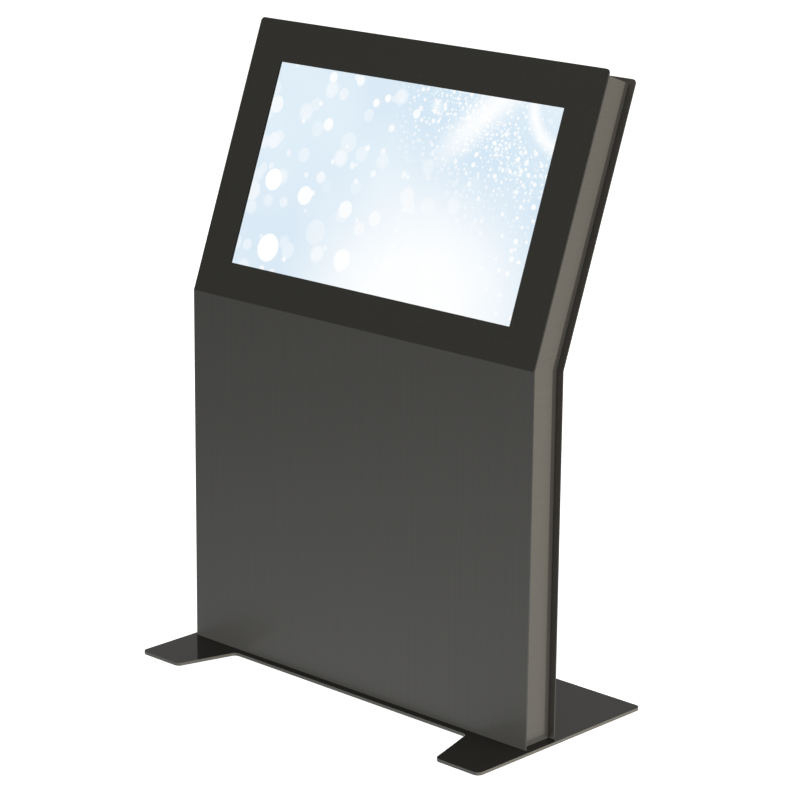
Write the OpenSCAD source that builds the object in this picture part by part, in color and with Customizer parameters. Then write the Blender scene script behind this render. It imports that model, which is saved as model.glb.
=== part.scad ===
// Touchscreen kiosk: a bent front panel and a parallel rear panel stand on a
// footed floor plate, with a slim cabinet, a tilted display and a rear
// service door between them. Units are millimetres, +Z is up, the front
// faces -Y and the origin is the middle of the floor plate's underside.

/* [Part] */
// Which piece to draw, or all of them

/* [Panels] */
// Width of the front and rear panels
panel_w = 860; // [860:1:880]
// Height of the upright lower facet
lower_h = 700; // [700:1:760]
// Length of the tilted upper facet
upper_l = 538; // [538:1:560]
// Lean of the upper facet from vertical, in degrees
tilt = 20; // [15:1:22]
// Distance from the front face to the rear face
depth = 80; // [80:1:90]
// Thickness of the front sheet
front_t = 3; // [2:0.5:3]
// Thickness of the rear sheet
rear_t = 2.5; // [2:0.5:3]
// Radius of the panels' top corners
corner_r = 8; // [4:1:8]

/* [Window] */
// Width of the display window
window_w = 704; // [690:1:706]
// Height of the display window
window_h = 392; // [388:1:396]
// Distance from the window to the panel's top edge
window_top = 79; // [77:0.5:80]

/* [Floor plate] */
// Width of the floor plate
plate_w = 880; // [876:2:900]
// Depth of the floor plate
plate_d = 452; // [440:2:460]
// Thickness of the floor plate
plate_t = 6; // [5:1:8]
// How far the feet reach in front of the front panel
foot_reach = 137; // [120:1:150]
// Width of each foot at its tip
foot_tip_w = 103; // [90:1:110]
// Width of each foot at its root
foot_root_w = 138; // [125:1:142]
// Distance from the notch to the front panel
notch_gap = 16; // [15:0.5:30]
// Radius of the plate's corners
plate_r = 12; // [5:1:14]

/* [Cabinet] */
// Half of the cabinet's width
core_half = 418; // [417:0.5:419]
// Thickness of the side covers
cover_t = 1.5; // [1:0.5:2]
// Gap between the panels' top edge and the cabinet's top
top_gap = 9; // [8:1:12]
// Gap between the floor plate and the side covers
cover_lift = 12; // [10:1:16]

/* [Hidden] */
$fn = 48;
small = 32; // facets of small round parts
fine = 64;  // facets of large round parts
hex = 6;
cut = 1;    // how far a cutter runs past the material

// Inside lower() and upper(), x runs across, y is the depth behind the front
// face, and z is the height above the floor plate, or in upper() the slope
// length above the bend.
face_y = foot_reach - plate_d / 2;
core_top = upper_l - top_gap;
window_mid = upper_l - window_top - window_h / 2;
rear_front = depth - rear_t; // front of the rear sheet
bay_mid = (front_t + rear_front) / 2;

// the frame stops a paint film short of the front sheet, and a foam dust seal
// lies between it and the rear sheet
gasket_t = 2;
frame_front = front_t + 0.05;
frame_back = rear_front - gasket_t;
web_t = 2.5;
flange_w = 23;
flange_t = 2.5;
base_t = 3;
inner_half = core_half - web_t - 0.1;
flange_half = core_half - flange_w - 0.2;
// just behind the frame's front flanges
bay_front = frame_front + flange_t + 0.05;

// fasteners in the frame
stud_x = core_half - 12;
stud_heights = [60, 240, 420, 600];
stud_slopes = [110, 270, 430];
rear_heights = [60, 330, 660];
rear_slopes = [90, 290, 448];
end_x = [-260, 0, 260];
end_height = 26;
end_slope = core_top - 17;
cover_depth = 34;
cover_heights = [120, 360, 600];
cover_slopes = [120, 400];
rivet_depths = [28, 52];
cross_rivet_depth = 65;
m5_r = 2.5;
m5_thread_r = 2.55;
m5_clear_r = 2.75;
rivet_hole_r = 2.45;
seat = 0.03; // gap under the rear screws' heads

// floor fixings
bolt_x = [-360, 0, 360];
bolt_y = 17;
anchor_x = 320;
anchor_y = 18;
cable_x = 230;
cable_hole_r = 22;
mains_r = 4.5;

// cross members and display rails
cross_slopes = [34, 476];
cross_front = 56;
cross_t = 2;
rail_x = 200;
rail_t = 2;
rail_screw_x = 25;

// service door, its hinges and its lock
door_z = 355;
hinge_x = -300;
hinge_heights = [door_z - 195, door_z, door_z + 195];
leaf_screw_x = 18;
leaf_screw_z = 18;
leaf_hole_r = 2.05;
lock_x = 270;
lock_z = door_z;

// fans
fan_x = 110;
fan_slope = 424;
fan_front = rear_front - 20;
fan_corner = 25;

steel_dark = [0.27, 0.27, 0.26];
steel_taupe = [0.45, 0.43, 0.40];
steel_black = [0.10, 0.10, 0.10];
zinc = [0.62, 0.63, 0.64];
black = [0.08, 0.08, 0.08];
glass_tint = [0.8, 0.88, 0.95];
lcd_tint = [0.83, 0.91, 0.97];
board_green = [0.10, 0.32, 0.20];
player_grey = [0.16, 0.16, 0.17];
button_silver = [0.75, 0.76, 0.77];
strip_grey = [0.13, 0.13, 0.14];
switch_red = [0.55, 0.08, 0.07];

// ---- helpers ----------------------------------------------------------

function unit(vector) = vector / norm(vector);
function flip(point) = [-point[0], point[1]];

// a point of the upper facet, measured from the front face and its foot
function upper_y(slope, back) = slope * sin(tilt) + back * cos(tilt);
function upper_z(slope, back) = lower_h + slope * cos(tilt) - back * sin(tilt);
// room points from x, depth behind the front face, and height or slope length
function low_point(x, back, z) = [x, face_y + back, plate_t + z];
function up_point(x, back, slope) =
    [x, face_y + upper_y(slope, back), plate_t + upper_z(slope, back)];

module lower() translate([0, face_y, plate_t]) children();
module upper()
    translate([0, face_y, plate_t + lower_h]) rotate([-tilt, 0, 0]) children();

module both_sides() {
    children();
    mirror([1, 0, 0]) children();
}

module box(corner, size) translate(corner) cube(size);

// a box centred across x
module crossbar(half, front, z, thickness, height)
    box([-half, front, z], [2 * half, thickness, height]);

// a flat outline (x, height) given thickness along the depth
module slab(front, back)
    translate([0, back, 0]) rotate([90, 0, 0]) linear_extrude(back - front) children();

// a cylinder along the depth
module rod(radius, front, back, x = 0, z = 0, sides = 48)
    translate([x, front, z]) rotate([-90, 0, 0])
        cylinder(h = back - front, r = radius, $fn = sides);

// a cutter through a sheet that lies between two depths
module hole(radius, front, back, x = 0, z = 0) rod(radius, front - cut, back + cut, x, z);
module opening(front, back) slab(front - cut, back + cut) children();

// a cylinder along x
module xrod(radius, left, right, y, sides = 48)
    translate([left, y, 0]) rotate([0, 90, 0])
        cylinder(h = right - left, r = radius, $fn = sides);

// a cutter through a sheet that lies flat, from its underside
module drill(radius, bottom, thickness)
    translate([0, 0, bottom - cut]) cylinder(h = thickness + 2 * cut, r = radius);

// a sheet that follows the bend; top is a slope length
module bent(left, right, front, back, bottom, top) {
    half_tan = tan(tilt / 2);
    translate([left, face_y, plate_t]) rotate([90, 0, 90]) linear_extrude(right - left)
        polygon([
            [front, bottom],
            [back, bottom],
            [back, lower_h - back * half_tan],
            [upper_y(top, back), upper_z(top, back)],
            [upper_y(top, front), upper_z(top, front)],
            [front, lower_h - front * half_tan]
        ]);
}

module rounded_rect(width, height, radius) {
    square([width - 2 * radius, height], center = true);
    square([width, height - 2 * radius], center = true);
    for (x = [-1, 1], y = [-1, 1])
        translate([x * (width / 2 - radius), y * (height / 2 - radius)]) circle(radius);
}

// an upright slot, round at both ends
module slot(width, height) {
    square([width, height - width], center = true);
    for (y = [-1, 1]) translate([0, y * (height - width) / 2]) circle(width / 2);
}

// a row of slots, with `wings` of them on each side of the middle one
module slot_row(wings, pitch, width, height)
    for (i = [-wings : wings]) translate([i * pitch, 0]) slot(width, height);

// the material between a corner and the round that replaces it; the corner's
// edges run towards points a_end and b_end
module corner_bit(corner, a_end, b_end, radius) {
    a_way = unit(a_end - corner);
    b_way = unit(b_end - corner);
    half_angle = acos(a_way * b_way) / 2;
    reach = radius / tan(half_angle);
    centre = corner + unit(a_way + b_way) * radius / sin(half_angle);
    difference() {
        polygon([
            corner - a_way - b_way,
            corner + a_way * reach - b_way,
            corner + a_way * reach,
            centre,
            corner + b_way * reach,
            corner + b_way * reach - a_way
        ]);
        translate(centre) circle(radius, $fn = fine);
    }
}

// what rounding takes off the top corners of a panel
module top_corners(front, back)
    upper() opening(front, back) both_sides()
        translate([panel_w / 2 - corner_r, upper_l - corner_r]) difference() {
            square(corner_r + 2);
            circle(corner_r, $fn = fine);
        }

// a screw along the depth with its head behind `back` and a hex socket
module button_screw(radius, head_r, head_h, front, back) difference() {
    socket_depth = 1.4;
    union() {
        rod(radius, front, back, sides = small);
        rod(head_r, back, back + head_h);
    }
    rod(radius * 0.7, back + head_h - socket_depth, back + head_h + cut, sides = hex);
}

// ---- positions shared by holes and the fasteners in them ----------------

// along both side flanges
module at_sides(heights, slopes) {
    lower() for (side = [-1, 1], z = heights) translate([side * stud_x, 0, z]) children();
    upper() for (side = [-1, 1], z = slopes) translate([side * stud_x, 0, z]) children();
}
module at_side_studs() at_sides(stud_heights, stud_slopes) children();
module at_rear_sides() at_sides(rear_heights, rear_slopes) children();

// along the base and top flanges
module at_base_end() lower() for (x = end_x) translate([x, 0, end_height]) children();
module at_top_end() upper() for (x = end_x) translate([x, 0, end_slope]) children();
module at_ends() {
    at_base_end() children();
    at_top_end() children();
}

module at_rear_screws() {
    at_rear_sides() children();
    at_ends() children();
}

// on the right side wall, with the children's z axis along +x
module on_wall(y, z) translate([core_half, y, z]) rotate([0, 90, 0]) children();
module at_cover_studs() {
    lower() for (z = cover_heights) on_wall(cover_depth, z) children();
    upper() for (z = cover_slopes) on_wall(cover_depth, z) children();
}
module at_rivets() {
    lower() for (y = rivet_depths) on_wall(y, end_height) children();
    upper() for (y = rivet_depths) on_wall(y, end_slope) children();
    upper() for (z = cross_slopes) on_wall(cross_rivet_depth, z) children();
}

module at_base_bolts()
    lower() for (x = bolt_x, side = [-1, 1])
        translate([x, bay_mid + side * bolt_y, 0]) children();
module at_anchors()
    lower() for (x = [-1, 1], side = [-1, 1])
        translate([x * anchor_x, bay_mid + side * anchor_y, 0]) children();
module at_cable_hole() lower() translate([cable_x, bay_mid, 0]) children();

module at_rail_screws()
    upper() for (side = [-1, 1], z = cross_slopes, x = [-rail_screw_x, rail_screw_x])
        translate([side * rail_x + x, 0, z]) children();
module at_display_screws()
    upper() for (side = [-1, 1], z = [window_mid - 100, window_mid + 100])
        translate([side * rail_x, 0, z]) children();

// side -1 is the rear panel's leaf, side 1 the door's
module at_leaf_screws(side)
    lower() for (z = hinge_heights, step = [-leaf_screw_z, leaf_screw_z])
        translate([hinge_x + side * leaf_screw_x, 0, z + step]) children();
module at_lock() lower() translate([lock_x, 0, lock_z]) children();

module at_fan_screws()
    upper() for (side = [-1, 1], x = [-fan_corner, fan_corner], z = [-fan_corner, fan_corner])
        translate([side * fan_x + x, 0, fan_slope + z]) children();

// holes shared by several pieces
module front_flange_hole() hole(m5_clear_r, front_t, front_t + flange_t);
module rear_flange_hole() hole(m5_thread_r, frame_back - flange_t, frame_back);
module rear_sheet_hole(radius) hole(radius, rear_front, depth);
module rivet_bores()
    both_sides() at_rivets() translate([0, 0, -8]) cylinder(h = 8 + cut, r = rivet_hole_r);
module floor_holes(bolt_hole_r, bottom, thickness) {
    at_base_bolts() drill(bolt_hole_r, bottom, thickness);
    at_anchors() drill(6, bottom, thickness);
    at_cable_hole() drill(cable_hole_r, bottom, thickness);
}

// ---- floor plate ----------------------------------------------------------

module plate_outline() {
    half_w = plate_w / 2;
    half_d = plate_d / 2;
    notch_y = face_y - notch_gap;
    tip_outer = [half_w, -half_d];
    tip_inner = [half_w - foot_tip_w, -half_d];
    root = [half_w - foot_root_w, notch_y];
    rear_corner = [half_w, half_d];
    // the notch's side runs on below the feet, so that its cut is clean
    notch_end = root + (tip_inner - root) * 1.3;
    difference() {
        square([plate_w, plate_d], center = true);
        difference() {
            polygon([root, notch_end, flip(notch_end), flip(root)]);
            both_sides() corner_bit(root, notch_end, [0, notch_y], plate_r);
        }
        both_sides() {
            corner_bit(tip_outer, tip_inner, rear_corner, plate_r);
            corner_bit(tip_inner, root, tip_outer, plate_r);
            corner_bit(rear_corner, tip_outer, [-half_w, half_d], plate_r);
        }
    }
}

module floor_plate() color(steel_black) difference() {
    linear_extrude(plate_t) plate_outline();
    floor_holes(4.05, -plate_t, plate_t);
}

module base_bolts() color(zinc) at_base_bolts() difference() {
    head_h = 8;
    union() {
        translate([0, 0, base_t]) cylinder(h = head_h, r = 6.5);
        translate([0, 0, 0.5 - plate_t]) cylinder(h = plate_t + base_t, r = 4);
    }
    translate([0, 0, base_t + head_h / 2]) cylinder(h = head_h / 2 + cut, r = 3.45, $fn = hex);
}

// ---- cabinet frame ----------------------------------------------------------

// a plate across the cabinet with a flange along each of its four edges
module end_tray(plate_z, flange_z, flange_h) {
    crossbar(inner_half, frame_front, plate_z, frame_back - frame_front, base_t);
    for (y = [frame_front, frame_back - flange_t])
        crossbar(flange_half, y, flange_z, flange_t, flange_h);
    both_sides() box([inner_half - flange_t, 18, flange_z], [flange_t, 44, flange_h]);
}

module chassis_base() color(steel_dark) difference() {
    lower() end_tray(0, 0, 42);
    floor_holes(4.25, 0, base_t);
    at_base_end() front_flange_hole();
    at_base_end() rear_flange_hole();
    rivet_bores();
}

module chassis_top() color(steel_dark) difference() {
    flange_h = 34;
    upper() end_tray(core_top - base_t, core_top - flange_h, flange_h);
    at_top_end() front_flange_hole();
    at_top_end() rear_flange_hole();
    rivet_bores();
}

module chassis_side() difference() {
    end_gap = base_t + 0.2;
    union() {
        bent(core_half - web_t, core_half, frame_front, frame_back, 0, core_top);
        for (y = [frame_front, frame_back - flange_t])
            bent(core_half - flange_w, core_half - 1, y, y + flange_t,
                end_gap, core_top - end_gap);
    }
    at_side_studs() front_flange_hole();
    at_rear_sides() rear_flange_hole();
    at_cover_studs() drill(2.25, -web_t, web_t);
    at_rivets() drill(rivet_hole_r, -web_t, web_t);
}
module chassis_side_right() color(steel_dark) chassis_side();
module chassis_side_left() color(steel_dark) mirror([1, 0, 0]) chassis_side();

// channels that open to the rear, with closed ends
module cross_members() color(zinc) difference() {
    height = 24;
    channel_d = 16;
    end_t = 2.5;
    upper() for (middle = cross_slopes) {
        bottom = middle - height / 2;
        crossbar(inner_half, cross_front, bottom, cross_t, height);
        for (z = [bottom, bottom + height - cross_t])
            crossbar(inner_half, cross_front, z, channel_d, cross_t);
        both_sides()
            box([inner_half - end_t, cross_front, bottom], [end_t, channel_d, height]);
    }
    at_rail_screws() hole(m5_thread_r, cross_front, cross_front + cross_t);
    rivet_bores();
}

module frame_rivets() color(zinc) both_sides() at_rivets() {
    shank = 5.1;
    head_h = 1.5;
    translate([0, 0, -shank]) cylinder(h = shank, r = 2.4, $fn = small);
    translate([0, 0, -shank - head_h]) cylinder(h = head_h, r = 4.5, $fn = small);
}

// ---- skins ----------------------------------------------------------

bay_plate_z = 100;
bay_plate_h = 460;

module front_stud() rod(m5_r, front_t - 0.5, 15, sides = small);

module front_panel() color(steel_dark) {
    difference() {
        bent(-panel_w / 2, panel_w / 2, 0, front_t, 0, upper_l);
        upper() opening(0, front_t)
            translate([0, window_mid]) rounded_rect(window_w, window_h, 1.5);
        top_corners(0, front_t);
    }
    at_side_studs() front_stud();
    at_ends() front_stud();
}

module stud_nut(front) difference() {
    height = 4;
    rod(4.6, front, front + height, sides = hex);
    rod(m5_thread_r, front - cut, front + height + cut, sides = small);
}

// nuts over the equipment plate sit behind it, the others on the flanges
module front_panel_nuts() color(zinc) {
    lower() for (side = [-1, 1], z = stud_heights) {
        on_plate = z > bay_plate_z && z < bay_plate_z + bay_plate_h;
        translate([side * stud_x, 0, z]) stud_nut(bay_front + (on_plate ? 2 : 0));
    }
    at_sides([], stud_slopes) stud_nut(bay_front);
    at_ends() stud_nut(bay_front);
}

module side_cover() {
    bent(core_half, core_half + cover_t, frame_front, 63, cover_lift, core_top - 0.5);
    at_cover_studs() translate([0, 0, -9]) cylinder(h = 9.5, r = 2, $fn = small);
}
module side_cover_right() color(steel_taupe) side_cover();
module side_cover_left() color(steel_taupe) mirror([1, 0, 0]) side_cover();

module side_cover_nuts() color(zinc) both_sides() at_cover_studs() {
    height = 3.2;
    translate([0, 0, -web_t - height]) difference() {
        cylinder(h = height, r = 4, $fn = hex);
        translate([0, 0, -cut]) cylinder(h = 6, r = 2.05, $fn = small);
    }
}

// slots that fill a circle
module fan_grille() {
    radius = 27;
    pitch = 8;
    for (i = [-3 : 3])
        translate([i * pitch, 0]) slot(4, 2 * sqrt(pow(radius, 2) - pow(i * pitch, 2)));
}

module rear_panel() color(steel_dark) {
    difference() {
        bent(-panel_w / 2, panel_w / 2, rear_front, depth, 0, upper_l);
        lower() opening(rear_front, depth) translate([0, door_z]) rounded_rect(600, 530, 4);
        upper() opening(rear_front, depth) {
            for (side = [-1, 1]) translate([side * fan_x, fan_slope]) fan_grille();
            translate([0, 150]) slot_row(8, 12, 5, 60);
        }
        at_fan_screws() rear_sheet_hole(2.2);
        top_corners(rear_front, depth);
        at_rear_screws() rear_sheet_hole(m5_clear_r);
        at_leaf_screws(-1) rear_sheet_hole(leaf_hole_r);
    }
    // striker that the lock's cam turns behind
    striker_front = 61;
    striker_h = 30;
    lower() translate([0, striker_front, lock_z - striker_h / 2]) {
        box([318, 0, 0], [2, rear_front + 0.5 - striker_front, striker_h]);
        box([300, 0, 0], [19, 2, striker_h]);
    }
}

// a foam strip all round the frame, with holes for the rear screws
module rear_gasket() color(black) difference() {
    gap = 0.05;
    front = frame_back + gap;
    thickness = gasket_t - 2 * gap;
    bottom = 0.3;
    top = core_top - 0.6;
    bar_half = core_half - 21;
    top_bar_h = 32;
    union() {
        both_sides()
            bent(core_half - 20, core_half - 0.6, front, rear_front - gap, bottom, top);
        lower() crossbar(bar_half, front, bottom, thickness, 40);
        upper() crossbar(bar_half, front, top - top_bar_h, thickness, top_bar_h);
    }
    at_rear_screws() hole(m5_clear_r, frame_back, rear_front);
}

module rear_panel_screws() color(zinc)
    at_rear_screws() button_screw(m5_r, 4.75, 2.7, rear_front - 12, depth + seat);

// ---- service door ----------------------------------------------------------

leaf_t = 1.6;
hinge_half = 30;
hinge_depth = depth + 4;

module service_door() color(steel_dark) difference() {
    rib_x = 242; // outer face of the angle-shaped ribs
    rib_t = 2;
    rib_d = 12;
    rib_half = 245;
    lower() {
        slab(rear_front, depth) translate([0, door_z]) rounded_rect(597, 527, 3);
        both_sides() translate([rib_x, rear_front - rib_d, door_z - rib_half]) {
            box([-rib_t, 0, 0], [rib_t, rib_d + 0.5, 2 * rib_half]);
            box([-12, 0, 0], [12, rib_t, 2 * rib_half]);
        }
    }
    lower() opening(rear_front, depth) for (x = [-110, 110]) {
        translate([x, door_z - 205]) slot_row(7, 12, 5, 70);
        translate([x, door_z + 215]) slot_row(7, 12, 5, 50);
    }
    at_lock() rear_sheet_hole(9.6);
    at_leaf_screws(1) rear_sheet_hole(leaf_hole_r);
}

module door_seal() color(black)
    lower() slab(rear_front - 2, rear_front) translate([0, door_z]) difference() {
        rounded_rect(612, 542, 5);
        rounded_rect(586, 516, 5);
    }

module at_hinges() lower() for (z = hinge_heights) translate([hinge_x, 0, z]) children();

// one leaf of each hinge, on the -x (-1) or +x (1) side of the pin;
// knuckles are [bottom, height] pairs measured from the hinge's middle
module hinge_leaves(side, knuckles) difference() {
    inner = 4.5;
    at_hinges() mirror([side < 0 ? 1 : 0, 0, 0]) {
        box([inner, depth, -hinge_half], [25.5, leaf_t, 2 * hinge_half]);
        for (knuckle = knuckles) {
            box([0, depth, knuckle[0]], [5, leaf_t, knuckle[1]]);
            translate([0, hinge_depth, knuckle[0]]) cylinder(h = knuckle[1], r = 4);
        }
    }
    at_hinges() translate([0, hinge_depth, 0]) drill(2.05, -hinge_half, 2 * hinge_half);
    at_leaf_screws(side) hole(leaf_hole_r, depth, depth + leaf_t);
}
module hinge_panel_leaves() color(zinc) hinge_leaves(-1, [[-30, 19.9], [10.1, 19.9]]);
module hinge_door_leaves() color(zinc) hinge_leaves(1, [[-10, 20]]);

module hinge_pins() color(zinc) at_hinges() translate([0, hinge_depth, 0]) {
    translate([0, 0, -hinge_half - 1]) cylinder(h = 2 * hinge_half + 1, r = 2, $fn = small);
    translate([0, 0, hinge_half]) cylinder(h = 1.6, r = 3.2, $fn = small);
}

module leaf_screws(side)
    at_leaf_screws(side) button_screw(2, 3.6, 1.8, depth - 8, depth + leaf_t);
module panel_leaf_screws() color(zinc) leaf_screws(-1);
module door_leaf_screws() color(zinc) leaf_screws(1);

// ---- door lock ----------------------------------------------------------

barrel_front = 62;
collar_back = depth + 2;
plug_r = 6;
cam_front = 58;
cam_t = 2.5;
drive_half = 3.5; // half the plug's square end
cam_screw_front = 57;

module lock_body() color(zinc) at_lock() difference() {
    union() {
        rod(9.5, barrel_front, depth + 0.5);
        rod(12.5, depth, collar_back);
    }
    hole(plug_r + 0.05, barrel_front, collar_back);
}
module lock_nut() color(zinc) at_lock() difference() {
    rod(14, rear_front - 4.5, rear_front, sides = hex);
    rod(9.55, rear_front - 6, rear_front + cut);
}
module lock_plug() color(zinc) at_lock() difference() {
    union() {
        rod(plug_r, 60.7, depth + 2.4);
        box([-drive_half, 57.5, -drive_half], [2 * drive_half, 4, 2 * drive_half]);
    }
    crossbar(0.8, depth - 5, -3.8, 8, 7.6); // key slot
    rod(1.55, cam_screw_front, 68);
}
module lock_cam() color(zinc) at_lock() difference() {
    hole_half = drive_half + 0.05;
    union() {
        rod(8, cam_front, cam_front + cam_t);
        crossbar(7, cam_front, 0, cam_t, 40);
    }
    crossbar(hole_half, cam_front - cut, -hole_half, 5, 2 * hole_half);
}
module lock_cam_screw() color(zinc) at_lock() {
    rod(5.5, 55, 57.5);
    rod(1.5, cam_screw_front, 66, sides = small);
}

// ---- display ----------------------------------------------------------

glass_front = front_t + 0.5;
lcd_front = glass_front + 3;
lcd_back = lcd_front + 10;
rail_front = 43; // also the back of the housing
rail_foot_front = cross_front - rail_t;
board_front = 48;
board_slope = window_mid - 150;

// an outline centred on the window, as a slab
module window_slab(front, back)
    upper() slab(front, back) translate([0, window_mid]) children();

module touch_glass() color(glass_tint)
    window_slab(glass_front, lcd_front) rounded_rect(730, 423, 4);

module glass_gasket() color(black) window_slab(front_t + 0.03, glass_front) difference() {
    rounded_rect(728, 421, 3);
    rounded_rect(window_w + 3, window_h + 3, 2);
}

module lcd_panel() color(lcd_tint)
    window_slab(lcd_front, lcd_back) square([716, 406], center = true);

module lcd_outline() rounded_rect(724, 414, 3);

module lcd_rim() color(steel_black) window_slab(lcd_front + 0.1, lcd_back) difference() {
    lcd_outline();
    square([716.4, 406.4], center = true);
}

// a slotted shell with bosses for the rails and posts for the driver board
module lcd_housing() color(zinc) difference() {
    wall_front = rail_front - 2;
    union() {
        difference() {
            window_slab(lcd_back, rail_front) lcd_outline();
            window_slab(lcd_back - 1.5, wall_front) square([720, 410], center = true);
            window_slab(wall_front - cut, rail_front + cut) {
                for (x = [-290, 290]) translate([x, 0]) slot_row(6, 9, 4, 120);
                translate([0, 60]) slot_row(10, 9, 4, 46);
            }
        }
        at_display_screws() rod(6, 30, 41.5);
        upper() for (x = [-72, 72], z = [board_slope + 8, board_slope + 92])
            rod(3.5, 42.5, board_front, x, z, small);
    }
    at_display_screws() rod(3.05, 29, 44);
}

// top-hat sections, with their feet against the cross members
module display_rails() color(zinc) difference() {
    bottom = 18;
    length = 474;
    half = 18;
    upper() for (side = [-1, 1]) translate([side * rail_x, 0, bottom]) {
        crossbar(half, rail_front, 0, rail_t, length);
        both_sides() {
            box([half - rail_t, rail_front, 0], [rail_t, 13, length]);
            box([17, rail_foot_front, 0], [17, rail_t, length]);
        }
    }
    at_display_screws() hole(3.25, rail_front, rail_front + rail_t);
    at_rail_screws() hole(m5_clear_r, rail_foot_front, cross_front);
}

module display_screws() color(zinc)
    at_display_screws() button_screw(3, 5.2, 3.4, 32, rail_front + rail_t);

// the heads face forward
module rail_screws() color(zinc) at_rail_screws() difference() {
    head_front = 50.6;
    union() {
        rod(m5_r, rail_foot_front - 0.1, 66, sides = small);
        rod(4.2, head_front, rail_foot_front);
    }
    rod(2, 49, head_front + 1.4, sides = hex);
}

// blocks on the driver board: x, z above the board's edge, width, thickness, height
board_blocks = [
    [-15, -1, 16, 6.5, 14],
    [35, -1, 22, 8, 14],
    [-62, -1, 20, 6.5, 12],
    [-30, 40, 34, 3.2, 34],
    [30, 45, 14, 2.4, 22]
];

module driver_board() color(board_green) upper() translate([0, 0, board_slope]) {
    parts_front = board_front + 1;
    crossbar(80, board_front, 0, 1.6, 100);
    for (block = board_blocks)
        box([block[0], parts_front, block[1]], [block[2], block[3], block[4]]);
    for (x = [-58, -46, 58]) rod(4, parts_front, parts_front + 11, x, 78, small);
}

module touch_controller() color(black)
    upper() translate([-346, rail_front, window_mid - 190]) difference() {
        cube([110, 12, 46]);
        // two sockets in the lower edge
        box([16, 4, -cut], [12, 5, 9]);
        box([66, 4, -cut], [22, 5, 9]);
    }

// ---- equipment bay ----------------------------------------------------------

player_back = 50;
strip_back = 50;
button_depth = 30;
switch_x = -118; // from the strip's middle
switch_depth = 46;

// the middles of the media player and of the power strip
module at_player() lower() translate([-135, 0, 390]) children();
module at_strip() lower() translate([210, 0, 152]) children();
module at_bracket_screws()
    at_player() for (x = [-90, 90], z = [-72, 72]) translate([x, 0, z]) children();
module at_strip_screws() at_strip() for (x = [-156, 156]) translate([x, 0, 0]) children();

module equipment_plate() color(zinc) difference() {
    lower() crossbar(stud_x + 7, bay_front, bay_plate_z, 1.9, bay_plate_h);
    at_side_studs() rod(m5_clear_r, front_t, 9);
    lower() slab(4, 9)
        for (x = [-330, -270, 60, 130, 200, 270, 340], z = [300, 380, 460])
            translate([x, z]) slot(8, 50);
    at_bracket_screws() rod(2.05, 4, 9);
    at_strip_screws() rod(2.05, 4, 9);
}

module equipment_screw(head_front) difference() {
    union() {
        rod(2, 5.8, head_front, sides = small);
        rod(3.8, head_front, head_front + 2.4);
    }
    rod(1.4, head_front + 1, head_front + 4, sides = hex);
}
module equipment_screws() color(zinc) {
    at_bracket_screws() equipment_screw(9);
    at_strip_screws() equipment_screw(9.5);
}

module media_player() color(player_grey) at_player() difference() {
    slab(9.1, player_back) rounded_rect(190, 119, 3);
    // grooves across the back
    for (i = [-9 : 9])
        box([i * 9 - 2.5, player_back - 8, -68], [5, 8 + cut, 136]);
    // three sockets in the top edge: x, width
    for (socket = [[-65, 14], [-40, 14], [25, 30]])
        box([socket[0], 20, 55], [socket[1], 8, 6]);
    xrod(6.05, 90, 96, button_depth);
}
module player_button() color(button_silver) at_player() xrod(6, 91.5, 96.5, button_depth);

// a back plate with two hooked straps above the player and two below
module player_bracket() color(zinc) difference() {
    strap_x = 47;
    strap_w = 30;
    strap_t = 1.8;
    strap_top = 61.6;
    lip_h = 12;
    lip_back = 52.5;
    at_player() {
        crossbar(103, front_t + flange_t + 2, -79, 1.5, 158);
        both_sides() {
            for (z = [-strap_top, strap_top - strap_t])
                box([strap_x, 8, z], [strap_w, lip_back - 8, strap_t]);
            for (z = [-strap_top, strap_top - lip_h])
                box([strap_x, lip_back - strap_t, z], [strap_w, strap_t, lip_h]);
        }
    }
    at_bracket_screws() rod(2.2, 6, 11);
}

module power_strip() color(strip_grey) difference() {
    front = 7.5;
    socket_front = strip_back - 12;
    at_strip() {
        slab(front, strip_back) rounded_rect(300, 44, 4);
        both_sides() box([140, front, -12], [22, 2, 24]);
    }
    at_strip() for (x = [-60, 5, 70]) {
        rod(18, socket_front, strip_back + 2, x);
        for (pin = [-9.5, 9.5]) rod(2.5, 24, socket_front + 1, x + pin, sides = 24);
    }
    at_strip_screws() rod(2.2, 6, 11);
    at_strip() translate([switch_x, 0, 0]) {
        crossbar(10, 34, -14, 20, 28);
        xrod(1.55, -12, 12, switch_depth, small);
    }
}

// a rocker whose back slopes away above and below its axle
module strip_switch() color(switch_red)
    at_strip() translate([switch_x, switch_depth, 0]) rotate([8, 0, 0]) {
        back = 6.5;
        difference() {
            crossbar(9, -6, -12, 6 + back, 24);
            for (flipped = [0, 1]) mirror([0, 0, flipped])
                translate([-10, back, 0]) rotate([-10, 0, 0]) cube([20, 5, 20]);
        }
        xrod(1.5, -11.5, 11.5, 0, small);
    }

// ---- leads ----------------------------------------------------------

lead_r = 3;
// slopes of a straight run into the driver board's lower edge
lead_in = board_slope - 18;
lead_end = board_slope - 1.02;

// a straight length between two points
module wire(start, end, radius) {
    run = end - start;
    translate(start) rotate([0, acos(run[2] / norm(run)), atan2(run[1], run[0])])
        cylinder(h = norm(run), r = radius, $fn = 24);
}

// straight lengths with a ball at each bend
module cable(points, radius) {
    last = len(points) - 1;
    for (i = [0 : last - 1]) wire(points[i], points[i + 1], radius);
    if (last > 1) for (i = [1 : last - 1])
        translate(points[i]) sphere(radius * 1.12, $fn = 24);
}

module mains_lead() color(black) cable([
    low_point(cable_x, bay_mid, -plate_t),
    low_point(cable_x, bay_mid, 70),
    low_point(cable_x, 30, 100),
    low_point(cable_x, 30, 130)
], mains_r);

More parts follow.
